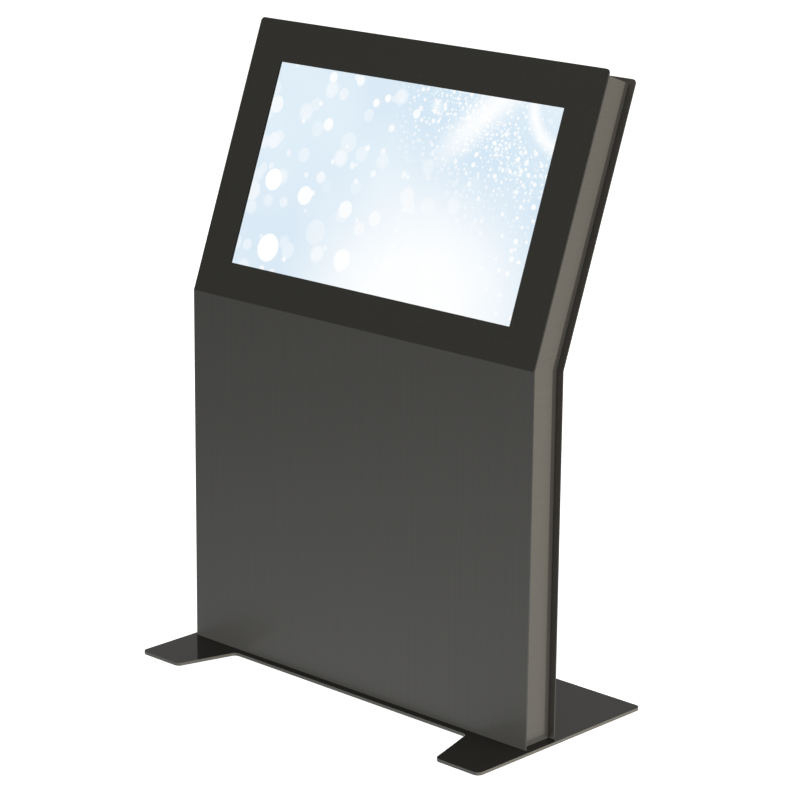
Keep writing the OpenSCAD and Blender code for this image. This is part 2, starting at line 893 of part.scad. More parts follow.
// from the strip to the media player, and to the driver board
module power_leads() color(black) {
    cable([
        low_point(110, 30, 174),
        low_point(110, 30, 220),
        low_point(-120, 30, 290),
        low_point(-120, 30, 330.5)
    ], lead_r);
    cable([
        low_point(180, 30, 174),
        low_point(180, 30, 220),
        low_point(180, 40, 560),
        up_point(70, 49, 34),
        up_point(46, 53, lead_in),
        up_point(46, 53, lead_end)
    ], lead_r);
}

// from the media player to the driver board
module signal_lead() color(black) cable([
    low_point(-140, 30, 449.5),
    low_point(-140, 30, 490),
    low_point(-60, 40, 600),
    up_point(-40, 49, 34),
    up_point(-7, 52.3, lead_in),
    up_point(-7, 52.3, lead_end)
], lead_r);

module cable_grommet() color(black) at_cable_hole() difference() {
    sleeve = plate_t + base_t;
    union() {
        translate([0, 0, -plate_t]) cylinder(h = sleeve, r = cable_hole_r - 0.1);
        translate([0, 0, base_t]) cylinder(h = 2.5, r = 25);
    }
    translate([0, 0, -plate_t - cut]) cylinder(h = sleeve + 5, r = mains_r + 0.05);
}

// ---- fans ----------------------------------------------------------

hub_r = 12;

// a fan's own z axis points to the rear
module at_fan(side)
    upper() translate([side * fan_x, fan_front, fan_slope]) rotate([-90, 0, 0]) children();

module fan_frame() difference() {
    hub_t = 2.5;
    bore_h = 22;
    union() {
        difference() {
            linear_extrude(19.95) rounded_rect(60, 60, 4);
            translate([0, 0, -cut]) cylinder(h = bore_h, r = 28.5, $fn = fine);
        }
        cylinder(h = hub_t, r = hub_r);
        for (angle = [30, 150, 270]) rotate(angle) box([10, -1.5, 0], [19.5, 3, hub_t]);
    }
    translate([0, 0, -cut]) cylinder(h = 5, r = 1.55, $fn = small);
    for (x = [-fan_corner, fan_corner], y = [-fan_corner, fan_corner])
        translate([x, y, -cut]) cylinder(h = bore_h, r = 2.15, $fn = small);
}
module fan_frames() color(black) for (side = [-1, 1]) at_fan(side) fan_frame();

// a hub on a thin axle, with seven pitched blades
module fan_rotor() {
    translate([0, 0, 3]) cylinder(h = 14, r = hub_r);
    translate([0, 0, 0.5]) cylinder(h = 3, r = 1.5, $fn = small);
    for (angle = [0 : 360 / 7 : 359]) rotate(angle)
        translate([10.5, 0, 10]) rotate([38, 0, 0]) box([0, -7, -0.6], [16.5, 14, 1.2]);
}
module fan_rotor_left() color(black) at_fan(-1) fan_rotor();
module fan_rotor_right() color(black) at_fan(1) fan_rotor();

module fan_screws() color(zinc)
    at_fan_screws() button_screw(2.1, 3.8, 2.2, fan_front + 2, depth + seat);

// ---- assembly ----------------------------------------------------------

floor_plate();
base_bolts();
chassis_base();
chassis_side_left();
chassis_side_right();
chassis_top();
cross_members();
frame_rivets();
front_panel();
front_panel_nuts();
side_cover_left();
side_cover_right();
side_cover_nuts();
rear_panel();
rear_gasket();
rear_panel_screws();
service_door();
door_seal();
hinge_panel_leaves();
hinge_door_leaves();
hinge_pins();
panel_leaf_screws();
door_leaf_screws();
lock_body();
lock_nut();
lock_plug();
lock_cam();
lock_cam_screw();
touch_glass();
glass_gasket();
lcd_panel();
lcd_rim();
lcd_housing();
display_rails();
display_screws();
rail_screws();
driver_board();
touch_controller();
equipment_plate();
equipment_screws();
media_player();
player_bracket();
player_button();
power_strip();
strip_switch();
mains_lead();
power_leads();
signal_lead();
cable_grommet();
fan_frames();
fan_rotor_left();
fan_rotor_right();
fan_screws();
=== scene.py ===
# A floor-standing display cabinet: an upright lower part and a head that leans back, on a
# gloss plate. x runs to the right seen from the front, -y is the front and z is up.
import math
import random

import bmesh
import bpy
from mathutils import Matrix, Vector


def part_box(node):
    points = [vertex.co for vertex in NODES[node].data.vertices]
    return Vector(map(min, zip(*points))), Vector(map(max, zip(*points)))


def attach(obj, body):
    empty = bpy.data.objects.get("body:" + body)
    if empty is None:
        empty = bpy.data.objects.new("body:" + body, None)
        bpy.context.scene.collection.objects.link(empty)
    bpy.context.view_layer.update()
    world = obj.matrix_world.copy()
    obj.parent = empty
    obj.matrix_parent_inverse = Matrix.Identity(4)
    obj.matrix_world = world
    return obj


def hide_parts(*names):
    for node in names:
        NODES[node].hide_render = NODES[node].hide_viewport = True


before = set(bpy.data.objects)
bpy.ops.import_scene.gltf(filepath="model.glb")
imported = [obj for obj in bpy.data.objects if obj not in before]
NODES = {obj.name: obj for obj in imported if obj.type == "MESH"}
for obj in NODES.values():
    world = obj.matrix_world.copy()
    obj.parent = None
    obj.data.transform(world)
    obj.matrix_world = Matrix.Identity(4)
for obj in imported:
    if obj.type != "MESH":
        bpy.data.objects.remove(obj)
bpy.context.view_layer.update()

random.seed(11)
MM = 0.001

# ---- the cabinet's own measures, in metres ----------------------------------------
FACE_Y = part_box("front_panel")[0].y
PLATE_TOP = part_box("floor_plate")[1].z
LOWER_HEIGHT = 0.700
FOLD_Z = PLATE_TOP + LOWER_HEIGHT       # where the face starts to lean back
TILT = math.radians(20)
SIN_TILT, COS_TILT = math.sin(TILT), math.cos(TILT)

UP = Vector((0, 0, 1))
ACROSS = Vector((1, 0, 0))
BACKWARD = (0, 1, 0)                    # depth axis of the millimetre frames below

# the display's window, on the tilted face
WINDOW_WIDTH, WINDOW_HEIGHT, WINDOW_FOOT = 0.704, 0.392, 0.067
WINDOW_ASPECT = 1.796
CELL_HALF_WIDTH, CELL_HALF_HEIGHT = 0.3540, 0.1991


def at_low(x, depth, height):
    """Millimetres: x, depth behind the front face, height above the plate."""
    return Vector((x * MM, FACE_Y + depth * MM, PLATE_TOP + height * MM))


def at_up(x, depth, rise):
    """Millimetres: x, depth behind the tilted face, length up the slope."""
    return Vector((x * MM, FACE_Y + rise * MM * SIN_TILT + depth * MM * COS_TILT,
                   FOLD_Z + rise * MM * COS_TILT - depth * MM * SIN_TILT))


# ---- node helpers -------------------------------------------------------------------
class Nodes:
    """A node tree, with short calls that add nodes and link them."""

    def __init__(self, tree, spare=0.0):
        self.tree = tree
        self.spare = spare      # value for unused maths inputs; None leaves them alone
        self.object_coord = None
        self.light_path = None

    def add(self, kind, **props):
        node = self.tree.nodes.new(kind)
        for key, value in props.items():
            setattr(node, key, value)
        return node

    def put(self, socket, value):
        """Links value when it is an output, and sets it otherwise."""
        if hasattr(value, "is_output"):
            self.tree.links.new(value, socket)
        elif isinstance(value, (tuple, list)) and len(value) == 3 and socket.type == "RGBA":
            socket.default_value = (*value, 1.0)
        else:
            socket.default_value = value

    def math(self, operation, *values, clamp=False):
        node = self.add("ShaderNodeMath", operation=operation, use_clamp=clamp)
        values += (self.spare,) * (3 - len(values))
        for socket, value in zip(node.inputs, values):
            if value is not None:
                self.put(socket, value)
        return node.outputs[0]

    def plus(self, first, second):
        return self.math("ADD", first, second)

    def minus(self, first, second):
        return self.math("SUBTRACT", first, second)

    def times(self, first, second):
        return self.math("MULTIPLY", first, second)

    def times_plus(self, value, factor, offset):
        return self.math("MULTIPLY_ADD", value, factor, offset)

    def spread(self, value, middle, swing):
        """Takes 0..1 to middle - swing .. middle + swing."""
        return self.times_plus(value, 2 * swing, middle - swing)

    def maximum(self, first, second):
        return self.math("MAXIMUM", first, second)

    def less(self, first, second):
        return self.math("LESS_THAN", first, second)

    def absolute(self, value):
        return self.math("ABSOLUTE", value)

    def vector_math(self, operation, first, second, result):
        node = self.add("ShaderNodeVectorMath", operation=operation)
        self.put(node.inputs[0], first)
        self.put(node.inputs[1], second)
        return node.outputs[result]

    def coord(self):
        if self.object_coord is None:
            self.object_coord = self.add("ShaderNodeTexCoord").outputs["Object"]
        return self.object_coord

    def ray(self, kind):
        """1 for rays of one kind: Camera, Glossy or Diffuse."""
        if self.light_path is None:
            self.light_path = self.add("ShaderNodeLightPath")
        return self.light_path.outputs[f"Is {kind} Ray"]

    def xyz(self, vector=None):
        node = self.add("ShaderNodeSeparateXYZ")
        self.put(node.inputs[0], vector if vector is not None else self.coord())
        return tuple(node.outputs)

    def vector(self, x, y, z):
        node = self.add("ShaderNodeCombineXYZ")
        for socket, value in zip(node.inputs, (x, y, z)):
            self.put(socket, value)
        return node.outputs[0]

    def normal(self):
        return self.xyz(self.add("ShaderNodeNewGeometry").outputs["True Normal"])

    def stretched(self, factors, vector=None):
        node = self.add("ShaderNodeMapping")
        self.put(node.inputs["Vector"], vector if vector is not None else self.coord())
        node.inputs["Scale"].default_value = factors
        return node.outputs[0]

    def noise(self, scale=1.0, detail=4.0, rough=0.6, stretch=None, vector=None):
        """Noise over the object's coordinates, or over vector; stretch scales each axis."""
        if stretch:
            vector = self.stretched(stretch, vector)
        node = self.add("ShaderNodeTexNoise")
        self.put(node.inputs["Vector"], vector if vector is not None else self.coord())
        node.inputs["Scale"].default_value = scale
        node.inputs["Detail"].default_value = detail
        node.inputs["Roughness"].default_value = rough
        return node.outputs[0]

    def voronoi(self, vector, scale, randomness=1.0, dimensions="3D"):
        node = self.add("ShaderNodeTexVoronoi", voronoi_dimensions=dimensions)
        self.put(node.inputs["Vector"], vector)
        node.inputs["Scale"].default_value = scale
        node.inputs["Randomness"].default_value = randomness
        return node.outputs["Distance"], node.outputs["Color"]

    def ramp(self, value, span, to=(0.0, 1.0), smooth=True):
        """Maps the span onto to; either may run downwards."""
        node = self.add("ShaderNodeMapRange")
        node.interpolation_type = "SMOOTHSTEP" if smooth else "LINEAR"
        self.put(node.inputs["Value"], value)
        for key, limit in zip(("From Min", "From Max", "To Min", "To Max"), (*span, *to)):
            self.put(node.inputs[key], limit)
        return node.outputs["Result"]

    def mix(self, factor, first, second, mode="MIX"):
        node = self.add("ShaderNodeMix", data_type="RGBA", blend_type=mode)
        self.put(node.inputs["Factor"], factor)
        self.put(node.inputs["A"], first)
        self.put(node.inputs["B"], second)
        return node.outputs["Result"]

    def toned(self, color, tone):
        return self.mix(1.0, color, self.vector(tone, tone, tone), "MULTIPLY")


def tint(color, gain):
    return tuple(min(1.0, channel * gain) for channel in color)


class Shader(Nodes):
    """A new material and its node tree."""

    SOCKETS = {"color": "Base Color", "rough": "Roughness", "metal": "Metallic",
               "spec": "Specular IOR Level", "coat": "Coat Weight",
               "coat_rough": "Coat Roughness", "emit": "Emission Color",
               "emit_strength": "Emission Strength"}

    def __init__(self, name):
        self.mat = bpy.data.materials.new(name)
        self.mat.use_nodes = True
        super().__init__(self.mat.node_tree)
        self.bsdf = self.tree.nodes["Principled BSDF"]
        self.surface = self.tree.nodes["Material Output"].inputs["Surface"]

    def set(self, **values):
        for key, value in values.items():
            self.put(self.bsdf.inputs[self.SOCKETS[key]], value)

    def bump(self, height, strength, distance):
        node = self.add("ShaderNodeBump")
        node.inputs["Strength"].default_value = strength
        node.inputs["Distance"].default_value = distance
        self.put(node.inputs["Height"], height)
        self.put(self.bsdf.inputs["Normal"], node.outputs[0])

    def edge(self, radius):
        """1 at sharp edges, 0 on flats."""
        bevel = self.add("ShaderNodeBevel", samples=4)
        bevel.inputs["Radius"].default_value = radius
        geometry = self.add("ShaderNodeNewGeometry")
        flatness = self.vector_math("DOT_PRODUCT", bevel.outputs[0],
                                    geometry.outputs["True Normal"], "Value")
        return self.ramp(flatness, (0.985, 0.80))

    def worn(self, base, color, radius, share, gain):
        """base, with the edges part way to a brighter color."""
        return self.mix(self.times(self.edge(radius), share), base, tint(color, gain))

    def mix_shaders(self, factor, first, second):
        node = self.add("ShaderNodeMixShader")
        for socket, value in zip(node.inputs, (factor, first, second)):
            self.put(socket, value)
        return node.outputs[0]


# ---- kinds of surface -----------------------------------------------------------------
def painted(name, color, rough, streak=(700, 700, 5), streak_amount=0.10, coat=0.12,
            edge_gain=1.7, inside=None):
    """Satin powder coat: faint streaks, fine orange peel, slightly brighter edges.
    inside is a paler colour painted on faces that look towards the front: painted light where
    those faces catch more light."""
    shade = Shader(name)
    streaks = shade.noise(stretch=streak, detail=3.0)
    cloud = shade.noise(scale=3.2, detail=3.0, rough=0.5)
    tone = shade.plus(shade.spread(streaks, middle=1.0, swing=streak_amount),
                      shade.spread(cloud, middle=0.0, swing=0.05))
    coat_and_front_light = color
    # painted light: faces that look towards the front get the paler inside colour
    if inside:
        coat_and_front_light = shade.mix(shade.less(shade.normal()[1], -0.5), color, inside)
    base = shade.toned(coat_and_front_light, tone)
    wear = shade.times(shade.edge(radius=0.0010),
                       shade.ramp(shade.noise(scale=60.0), (0.30, 0.62)))
    shade.set(
        color=shade.mix(shade.times(wear, 0.65), base, tint(color, edge_gain)),
        spec=shade.times(0.5, shade.spread(streaks, middle=1.0, swing=0.8 * streak_amount)),
        metal=0.0, coat=coat, coat_rough=0.05,
        rough=shade.plus(shade.spread(streaks, middle=rough, swing=0.05),
                         shade.times(cloud, 0.03)))
    peel = shade.noise(scale=2600, detail=2.0, rough=0.5)
    shade.bump(shade.plus(shade.times(peel, 0.5), shade.times(streaks, 0.5)),
               strength=0.06, distance=0.0004)
    return shade.mat


def brushed(name, color, along, rough, metal, amount, bump=0.10, low=1.0):
    """Brushed metal: fine scratches, cloudy roughness, brighter edges.
    along scales the scratches by axis; low darkens the tone towards the floor."""
    shade = Shader(name)
    coarse = shade.noise(stretch=along, rough=0.65)
    fine = shade.noise(stretch=(along[0] * 3, along[1] * 3, along[2] * 2.3),
                       detail=2.0, rough=0.5)
    scratches = shade.times_plus(fine, 0.4, shade.times(coarse, 0.6))
    cloud = shade.noise(scale=6.0, detail=3.0, rough=0.5)
    tone = shade.plus(shade.spread(scratches, middle=1.0, swing=amount),
                      shade.spread(cloud, middle=0.0, swing=0.06))
    if low != 1.0:
        tone = shade.times(tone, shade.ramp(shade.xyz()[2], (0.0, 0.75), to=(low, 1.0)))
    base = shade.toned(color, tone)
    shade.set(color=shade.worn(base, color, radius=0.0008, share=0.5, gain=1.45),
              metal=metal, spec=0.5, coat=0.0,
              rough=shade.plus(shade.spread(scratches, middle=rough, swing=0.11),
                               shade.spread(cloud, middle=0.0, swing=0.04)))
    shade.bump(scratches, strength=bump, distance=0.0003)
    return shade.mat


def zinc_plated(name, color, rough, spangle, yellow=0.0):
    """Galvanised or zinc-plated steel: soft spangle, light smudges, some yellowing."""
    shade = Shader(name)
    large = shade.xyz(shade.voronoi(shade.coord(), spangle)[1])[0]
    small = shade.xyz(shade.voronoi(shade.coord(), spangle * 2.7)[1])[1]
    grain = shade.times_plus(small, 0.35, shade.times(large, 0.65))
    smudge = shade.noise(scale=28.0, detail=5.0)
    tone = shade.plus(shade.spread(grain, middle=0.94, swing=0.20),
                      shade.spread(smudge, middle=0.0, swing=0.11))
    base = shade.toned(color, tone)
    if yellow:
        base = shade.mix(shade.times(smudge, yellow), base, (0.62, 0.55, 0.33))
    shade.set(color=shade.worn(base, color, radius=0.0006, share=0.5, gain=1.4), metal=0.9,
              rough=shade.plus(shade.spread(grain, middle=rough, swing=0.06),
                               shade.spread(smudge, middle=0.0, swing=0.08)))
    shade.bump(shade.times_plus(grain, 0.3, smudge), strength=0.08, distance=0.0003)
    return shade.mat


def moulded(name, color, rough, grain, bump, spec):
    """Plastic or rubber: fine pebble grain, dust, polished edges."""
    shade = Shader(name)
    pebble = shade.noise(scale=grain, detail=3.0, rough=0.55)
    dust = shade.noise(scale=22.0)
    tone = shade.plus(shade.spread(pebble, middle=1.0, swing=0.09),
                      shade.spread(dust, middle=0.0, swing=0.11))
    base = shade.toned(color, tone)
    shade.set(color=shade.worn(base, color, radius=0.0007, share=0.45, gain=1.8), spec=spec,
              rough=shade.plus(shade.spread(pebble, middle=rough, swing=0.08),
                               shade.spread(dust, middle=0.0, swing=0.06)))
    shade.bump(pebble, strength=bump, distance=0.0002)
    return shade.mat


# ---- the cabinet's materials -------------------------------------------------------------
ANTHRACITE = (0.0355, 0.0345, 0.0275)
PANEL_COAT = painted("panel_coat", ANTHRACITE, rough=0.44, streak=(430, 430, 4),
                     streak_amount=0.16)
# the rear panel's faces that look towards the front are painted paler: painted light
REAR_COAT = painted("rear_panel_coat", ANTHRACITE, rough=0.44, streak=(430, 430, 4),
                    streak_amount=0.12, inside=(0.098, 0.091, 0.078))
DOOR_COAT = painted("door_coat", ANTHRACITE, rough=0.44, streak=(420, 420, 5),
                    streak_amount=0.12)
FRAME_COAT = painted("frame_coat", (0.084, 0.078, 0.068), rough=0.46, coat=0.0)
HINGE_COAT = painted("hinge_coat", (0.040, 0.040, 0.038), rough=0.36,
                     streak=(900, 900, 60), coat=0.1)
BLACK_SCREW = painted("screw_black_oxide", (0.028, 0.028, 0.028), rough=0.34,
                      streak=(500, 500, 500), coat=0.1, edge_gain=3.0)

COVER = brushed("cover_taupe_brushed", (0.210, 0.195, 0.163), along=(60, 9, 620),
                rough=0.46, metal=0.30, amount=0.20, bump=0.08, low=0.66)
HOUSING = zinc_plated("display_back_galvanised", (0.50, 0.51, 0.53), rough=0.34, spangle=90.0)
GALVANISED = zinc_plated("galvanised_sheet", (0.50, 0.51, 0.53), rough=0.36, spangle=75.0)
ZINC = zinc_plated("zinc_fastener", (0.62, 0.63, 0.66), rough=0.24, spangle=400.0,
                   yellow=0.25)
CAM_ZINC = zinc_plated("zinc_cam", (0.58, 0.57, 0.54), rough=0.30, spangle=500.0,
                       yellow=0.45)
CHROME = brushed("lock_chrome", (0.40, 0.40, 0.41), along=(700, 700, 700),
                 rough=0.30, metal=1.0, amount=0.18, bump=0.06)
BLACK_ALUMINIUM = brushed("player_black_anodised", (0.055, 0.056, 0.062),
                          along=(900, 900, 14), rough=0.36, metal=0.75, amount=0.16)
ALUMINIUM = brushed("button_aluminium", (0.72, 0.73, 0.74), along=(900, 40, 40),
                    rough=0.26, metal=1.0, amount=0.10)
RUBBER = moulded("rubber_black", (0.022, 0.022, 0.022),
                 rough=0.72, grain=900.0, bump=0.25, spec=0.3)
SHEATH = moulded("cable_sheath", (0.026, 0.026, 0.028),
                 rough=0.48, grain=1200.0, bump=0.10, spec=0.45)
PLASTIC = moulded("plastic_black", (0.035, 0.035, 0.038),
                  rough=0.52, grain=1700.0, bump=0.22, spec=0.4)
RIM_COAT = painted("display_rim_black", (0.020, 0.020, 0.020), rough=0.5,
                   streak=(300, 300, 300), coat=0.0)
ROCKER_RED = moulded("rocker_red", (0.42, 0.022, 0.016),
                     rough=0.26, grain=600.0, bump=0.05, spec=0.55)


def plate_material():
    """Gloss black floor plate: dusty mirror-like top, paler cut edges with painted warm light
    on those that face left and right, and a painted glow in reflections.
    """
    shade = Shader("floor_plate_gloss_black")
    normal_x, _, normal_z = shade.normal()
    side = shade.ramp(shade.absolute(normal_z), (0.75, 0.35))
    # painted light: cut edges that face left and right are tinted warm and paler, as if lit by
    # the side lamps
    painted_side_light = shade.ramp(shade.absolute(normal_x), (0.25, 0.85))
    cut = shade.noise(stretch=(220, 220, 900))
    tone = shade.spread(cut, middle=1.0, swing=0.25)
    edge_and_side_light = shade.mix(painted_side_light, (0.115, 0.115, 0.104), (0.205, 0.192, 0.160))
    edge_and_side_light = shade.toned(edge_and_side_light, tone)
    dust = shade.noise(scale=45.0, detail=5.0, rough=0.65)
    scuff = shade.noise(stretch=(160, 26, 60))
    top = shade.mix(shade.ramp(dust, (0.42, 0.75), to=(0.0, 0.35)),
                    (0.0300, 0.0292, 0.0265), (0.040, 0.0392, 0.0360))
    top_rough = shade.plus(shade.ramp(dust, (0.35, 0.8), to=(0.055, 0.13)),
                           shade.times(scuff, 0.03))
    shade.set(color=shade.mix(side, top, edge_and_side_light), spec=0.42, metal=0.0,
              rough=shade.plus(shade.times(side, 0.40), top_rough))
    shade.bump(shade.times_plus(dust, 0.3, shade.times(shade.times(cut, side), 0.7)),
               strength=0.05, distance=0.0004)
    # painted glow: seen in reflections the plate gives off about as much light as the floor,
    # its edge a little more
    shade.set(emit=(1.0, 0.99, 0.95),
              emit_strength=shade.times(shade.ray("Glossy"),
                                        shade.times_plus(side, 0.55, 0.92)))
    return shade.mat


PLATE_GLOSS = plate_material()

# out-of-focus discs, in window heights: across, up, radius; then strength
PLACED_DISCS = (
    (0.13, 0.43, 0.054, 1.0), (0.20, 0.10, 0.068, 1.0), (0.69, 0.12, 0.050, 0.95),
    (0.37, 0.39, 0.046, 0.95), (0.63, 0.36, 0.042, 0.80), (0.39, 0.75, 0.031, 0.85),
    (0.03, 0.80, 0.043, 0.70), (0.07, 0.62, 0.040, 0.55), (0.02, 0.37, 0.050, 0.55),
    (0.36, 0.96, 0.026, 0.85), (0.53, 0.98, 0.025, 0.80), (0.66, 0.89, 0.020, 0.95),
    (0.73, 0.92, 0.019, 0.90), (0.81, 0.77, 0.018, 0.80), (0.56, 0.68, 0.050, 0.30),
    (0.28, 0.57, 0.036, 0.35), (0.49, 0.22, 0.060, 0.30), (0.93, 0.86, 0.022, 0.85),
    (0.84, 0.34, 0.036, 0.65), (0.43, 0.48, 0.028, 0.60), (1.02, 0.44, 0.030, 0.45),
    (0.76, 0.56, 0.016, 0.75))


class Picture(Shader):
    """Shader for the display; across and up are in window heights from its lower left."""

    def __init__(self, name):
        super().__init__(name)
        self.x, y, z = self.xyz()
        share = self.math("DIVIDE", self.plus(self.x, WINDOW_WIDTH / 2), WINDOW_WIDTH)
        self.rise = self.plus(self.times(self.minus(y, FACE_Y), SIN_TILT),
                              self.times(self.minus(z, FOLD_Z), COS_TILT))
        self.up = self.math("DIVIDE", self.minus(self.rise, WINDOW_FOOT), WINDOW_HEIGHT)
        self.across = self.times(share, WINDOW_ASPECT)
        self.flat = self.vector(self.across, self.up, 0.0)

    def distance(self, centre, flatten=None):
        """Distance from the centre; flatten weighs the squared part across."""
        from_x = self.minus(self.across, centre[0])
        from_y = self.minus(self.up, centre[1])
        square_x = self.times(from_x, from_x)
        if flatten is not None:
            square_x = self.times(square_x, flatten)
        return self.math("SQRT", self.plus(square_x, self.times(from_y, from_y)))

    def ring(self, centre, radius, width, power):
        """1 on an arc, falling to 0 at its width."""
        off = self.absolute(self.minus(self.distance(centre), radius))
        return self.math("POWER", self.ramp(off, (0.0, width), to=(1.0, 0.0)), power)

    def disc(self, x, y, radius, strength):
        soft = 0.0022 if strength > 0.7 else 0.0035
        distance = self.vector_math("DISTANCE", self.flat, (x, y, 0.0), "Value")
        return self.times(self.ramp(distance, (radius + soft, radius - soft)), strength)

    def discs(self, scale, size, spread, keep, soft, shift, low, high, randomness):
        """Discs at random cell points: keep is the share of the cells that hold one,
        low and high their strength."""
        moved = self.vector_math("ADD", self.flat, (shift, shift * 0.37, 0.0), "Vector")
        distance, color = self.voronoi(moved, scale, randomness, dimensions="2D")
        for_size, for_keep, for_strength = self.xyz(color)
        radius = self.times_plus(for_size, spread, size)
        body = self.ramp(self.minus(distance, radius), (soft, -soft))
        kept = self.times(body, self.less(for_keep, keep))
        return self.times(kept, self.times_plus(for_strength, high - low, low))

    def whiteness(self):
        """White glow towards the lower middle and two curved beams at the upper right."""
        from_glow = self.distance((1.20, 0.02), flatten=0.62)
        glow = self.ramp(from_glow, (0.12, 0.78), to=(1.0, 0.0))
        haze = self.noise(stretch=(2.1, 2.1, 2.1), detail=2.0, rough=0.45, vector=self.flat)
        glow = self.math("ADD", glow, self.times_plus(haze, 0.36, -0.17), clamp=True)
        wide = self.ring((2.60, -0.25), radius=1.715, width=0.15, power=1.2)
        wide = self.times(wide, self.ramp(self.up, (0.50, 0.90)))
        narrow = self.ring((1.85, 1.05), radius=0.245, width=0.060, power=1.1)
        narrow = self.times(narrow, self.ramp(self.up, (0.60, 0.85)))
        beams = self.maximum(self.times(wide, 0.95), self.times(narrow, 0.95))
        return self.maximum(glow, beams)

    def sparkle(self, arc):
        """The placed discs, and layers of scattered ones that get finer along the arc."""
        jitter = random.Random(5)
        total = self.times(0.0, 0.0)
        for x, y, radius, strength in PLACED_DISCS:
            x += jitter.uniform(-0.01, 0.01)
            y += jitter.uniform(-0.01, 0.01)
            total = self.maximum(total, self.disc(x, y, radius, strength))
        core = self.times(self.ring((0.70, -0.21), radius=1.25, width=0.20, power=0.9),
                          self.ramp(self.across, (0.80, 1.15)))
        # mask; then scale, size, spread, keep, soft, shift, low, high, randomness
        layers = (
            (self.ramp(self.across, (1.5, 0.5)),
             (5.4, 0.13, 0.10, 0.55, 0.014, 8.3, 0.15, 0.42, 0.82)),
            (self.ramp(self.across, (1.7, 0.9)),
             (6.6, 0.18, 0.10, 0.45, 0.085, 1.7, 0.30, 0.60, 0.82)),
            (self.ramp(self.across, (1.75, 0.7), to=(0.0, 0.9)),
             (12.0, 0.12, 0.09, 0.30, 0.022, 7.7, 0.45, 1.0, 0.82)),
            (arc, (20.0, 0.13, 0.13, 0.42, 0.025, 5.2, 0.85, 1.0, 1.0)),
            (self.times(arc, self.ramp(self.up, (0.30, 0.80), to=(0.15, 1.0))),
             (34.0, 0.16, 0.14, 0.60, 0.04, 2.4, 0.85, 1.0, 1.0)),
            (self.times(core, self.ramp(self.up, (0.50, 0.82))),
             (58.0, 0.20, 0.14, 0.60, 0.06, 4.4, 0.85, 1.0, 1.0)))
        for mask, layer in layers:
            total = self.maximum(total, self.times(self.discs(*layer), mask))
        return total

    def lit_area(self):
        """1 on the front face of the cell, inside its printed border."""
        middle = WINDOW_FOOT + WINDOW_HEIGHT / 2
        inside = self.times(
            self.less(self.absolute(self.x), CELL_HALF_WIDTH),
            self.less(self.absolute(self.minus(self.rise, middle)), CELL_HALF_HEIGHT))
        return self.times(inside, self.less(self.normal()[1], -0.6))


def screen_material():
    """The lit display: a pale blue field with out-of-focus discs and an arc of sparkle."""
    shade = Picture("display_lit")
    white = shade.whiteness()
    arc = shade.times(shade.ring((0.70, -0.21), radius=1.23, width=0.40, power=0.5),
                      shade.ramp(shade.across, (0.70, 1.00)))
    top = shade.sparkle(arc)
    patches = shade.noise(stretch=(1.3, 1.3, 1.3), detail=1.0, rough=0.4, vector=shade.flat)
    blue = shade.mix(shade.ramp(patches, (0.35, 0.70)),
                     (0.700, 0.818, 0.915), (0.770, 0.872, 0.945))
    blue = shade.mix(shade.times(arc, 0.45), blue, (0.60, 0.76, 0.895))
    field = shade.mix(white, blue, (0.985, 0.992, 0.998))
    picture = shade.mix(top, field, (1.0, 1.0, 1.0))
    lit = shade.lit_area()
    # the cell is seen bright but throws little light on the sheet's cut edge
    spill = shade.times_plus(shade.ray("Camera"), 0.92, 0.08)
    brightness = 1.0
    shade.set(color=shade.mix(lit, (0.085, 0.062, 0.040), (0.012, 0.013, 0.014)),
              rough=0.35, spec=0.05, emit=picture,
              emit_strength=shade.times(shade.times(lit, brightness), spill))
    return shade.mat


SCREEN = screen_material()


def glass_material():
    """Anti-glare touch glass: clear, with a thin film of reflection and faint smears."""
    shade = Shader("touch_glass_clear")
    smear = shade.noise(stretch=(9, 9, 30), detail=5.0, rough=0.65)
    angle = shade.add("ShaderNodeLayerWeight")
    angle.inputs["Blend"].default_value = 0.5
    clear = shade.add("ShaderNodeBsdfTransparent")
    shade.put(clear.inputs["Color"], (0.998, 0.999, 1.0))
    gloss = shade.add("ShaderNodeBsdfGlossy")
    shade.put(gloss.inputs["Color"], (0.9, 0.93, 0.95))
    shade.put(gloss.inputs["Roughness"], shade.ramp(smear, (0.35, 0.75), to=(0.10, 0.18)))
    # clear when seen near straight on, with a growing sheen beyond
    sheen = shade.ramp(angle.outputs["Facing"], (0.34, 0.95), to=(0.0, 0.55), smooth=False)
    factor = shade.times(sheen, shade.ramp(smear, (0.3, 0.8), to=(0.8, 1.0)))
    shade.put(shade.surface, shade.mix_shaders(factor, clear.outputs[0], gloss.outputs[0]))
    return shade.mat


GLASS = glass_material()


def board_material():
    """Green solder mask with fine copper tracks and tinned pads."""
    shade = Shader("circuit_board")
    bricks = shade.add("ShaderNodeTexBrick")
    shade.put(bricks.inputs["Vector"], shade.stretched((420, 420, 420)))
    for key, value in (("Scale", 1.0), ("Mortar Size", 0.06), ("Color1", (1, 1, 1)),
                       ("Color2", (0.7, 0.7, 0.7)), ("Mortar", (0, 0, 0))):
        shade.put(bricks.inputs[key], value)
    track = shade.xyz(bricks.outputs[0])[0]
    cell = shade.noise(scale=160.0, detail=3.0)
    base = shade.mix(shade.times(track, shade.ramp(cell, (0.4, 0.6))),
                     (0.008, 0.060, 0.030), (0.016, 0.120, 0.055))
    pad = shade.ramp(shade.noise(scale=420.0, detail=1.0, rough=0.4), (0.68, 0.74))
    shade.set(color=shade.mix(pad, base, (0.62, 0.60, 0.55)), metal=shade.times(pad, 0.9),
              rough=shade.ramp(cell, (0.3, 0.7), to=(0.24, 0.4)), coat=0.3, coat_rough=0.15)
    shade.bump(track, strength=0.10, distance=0.0002)
    return shade.mat


BOARD = board_material()


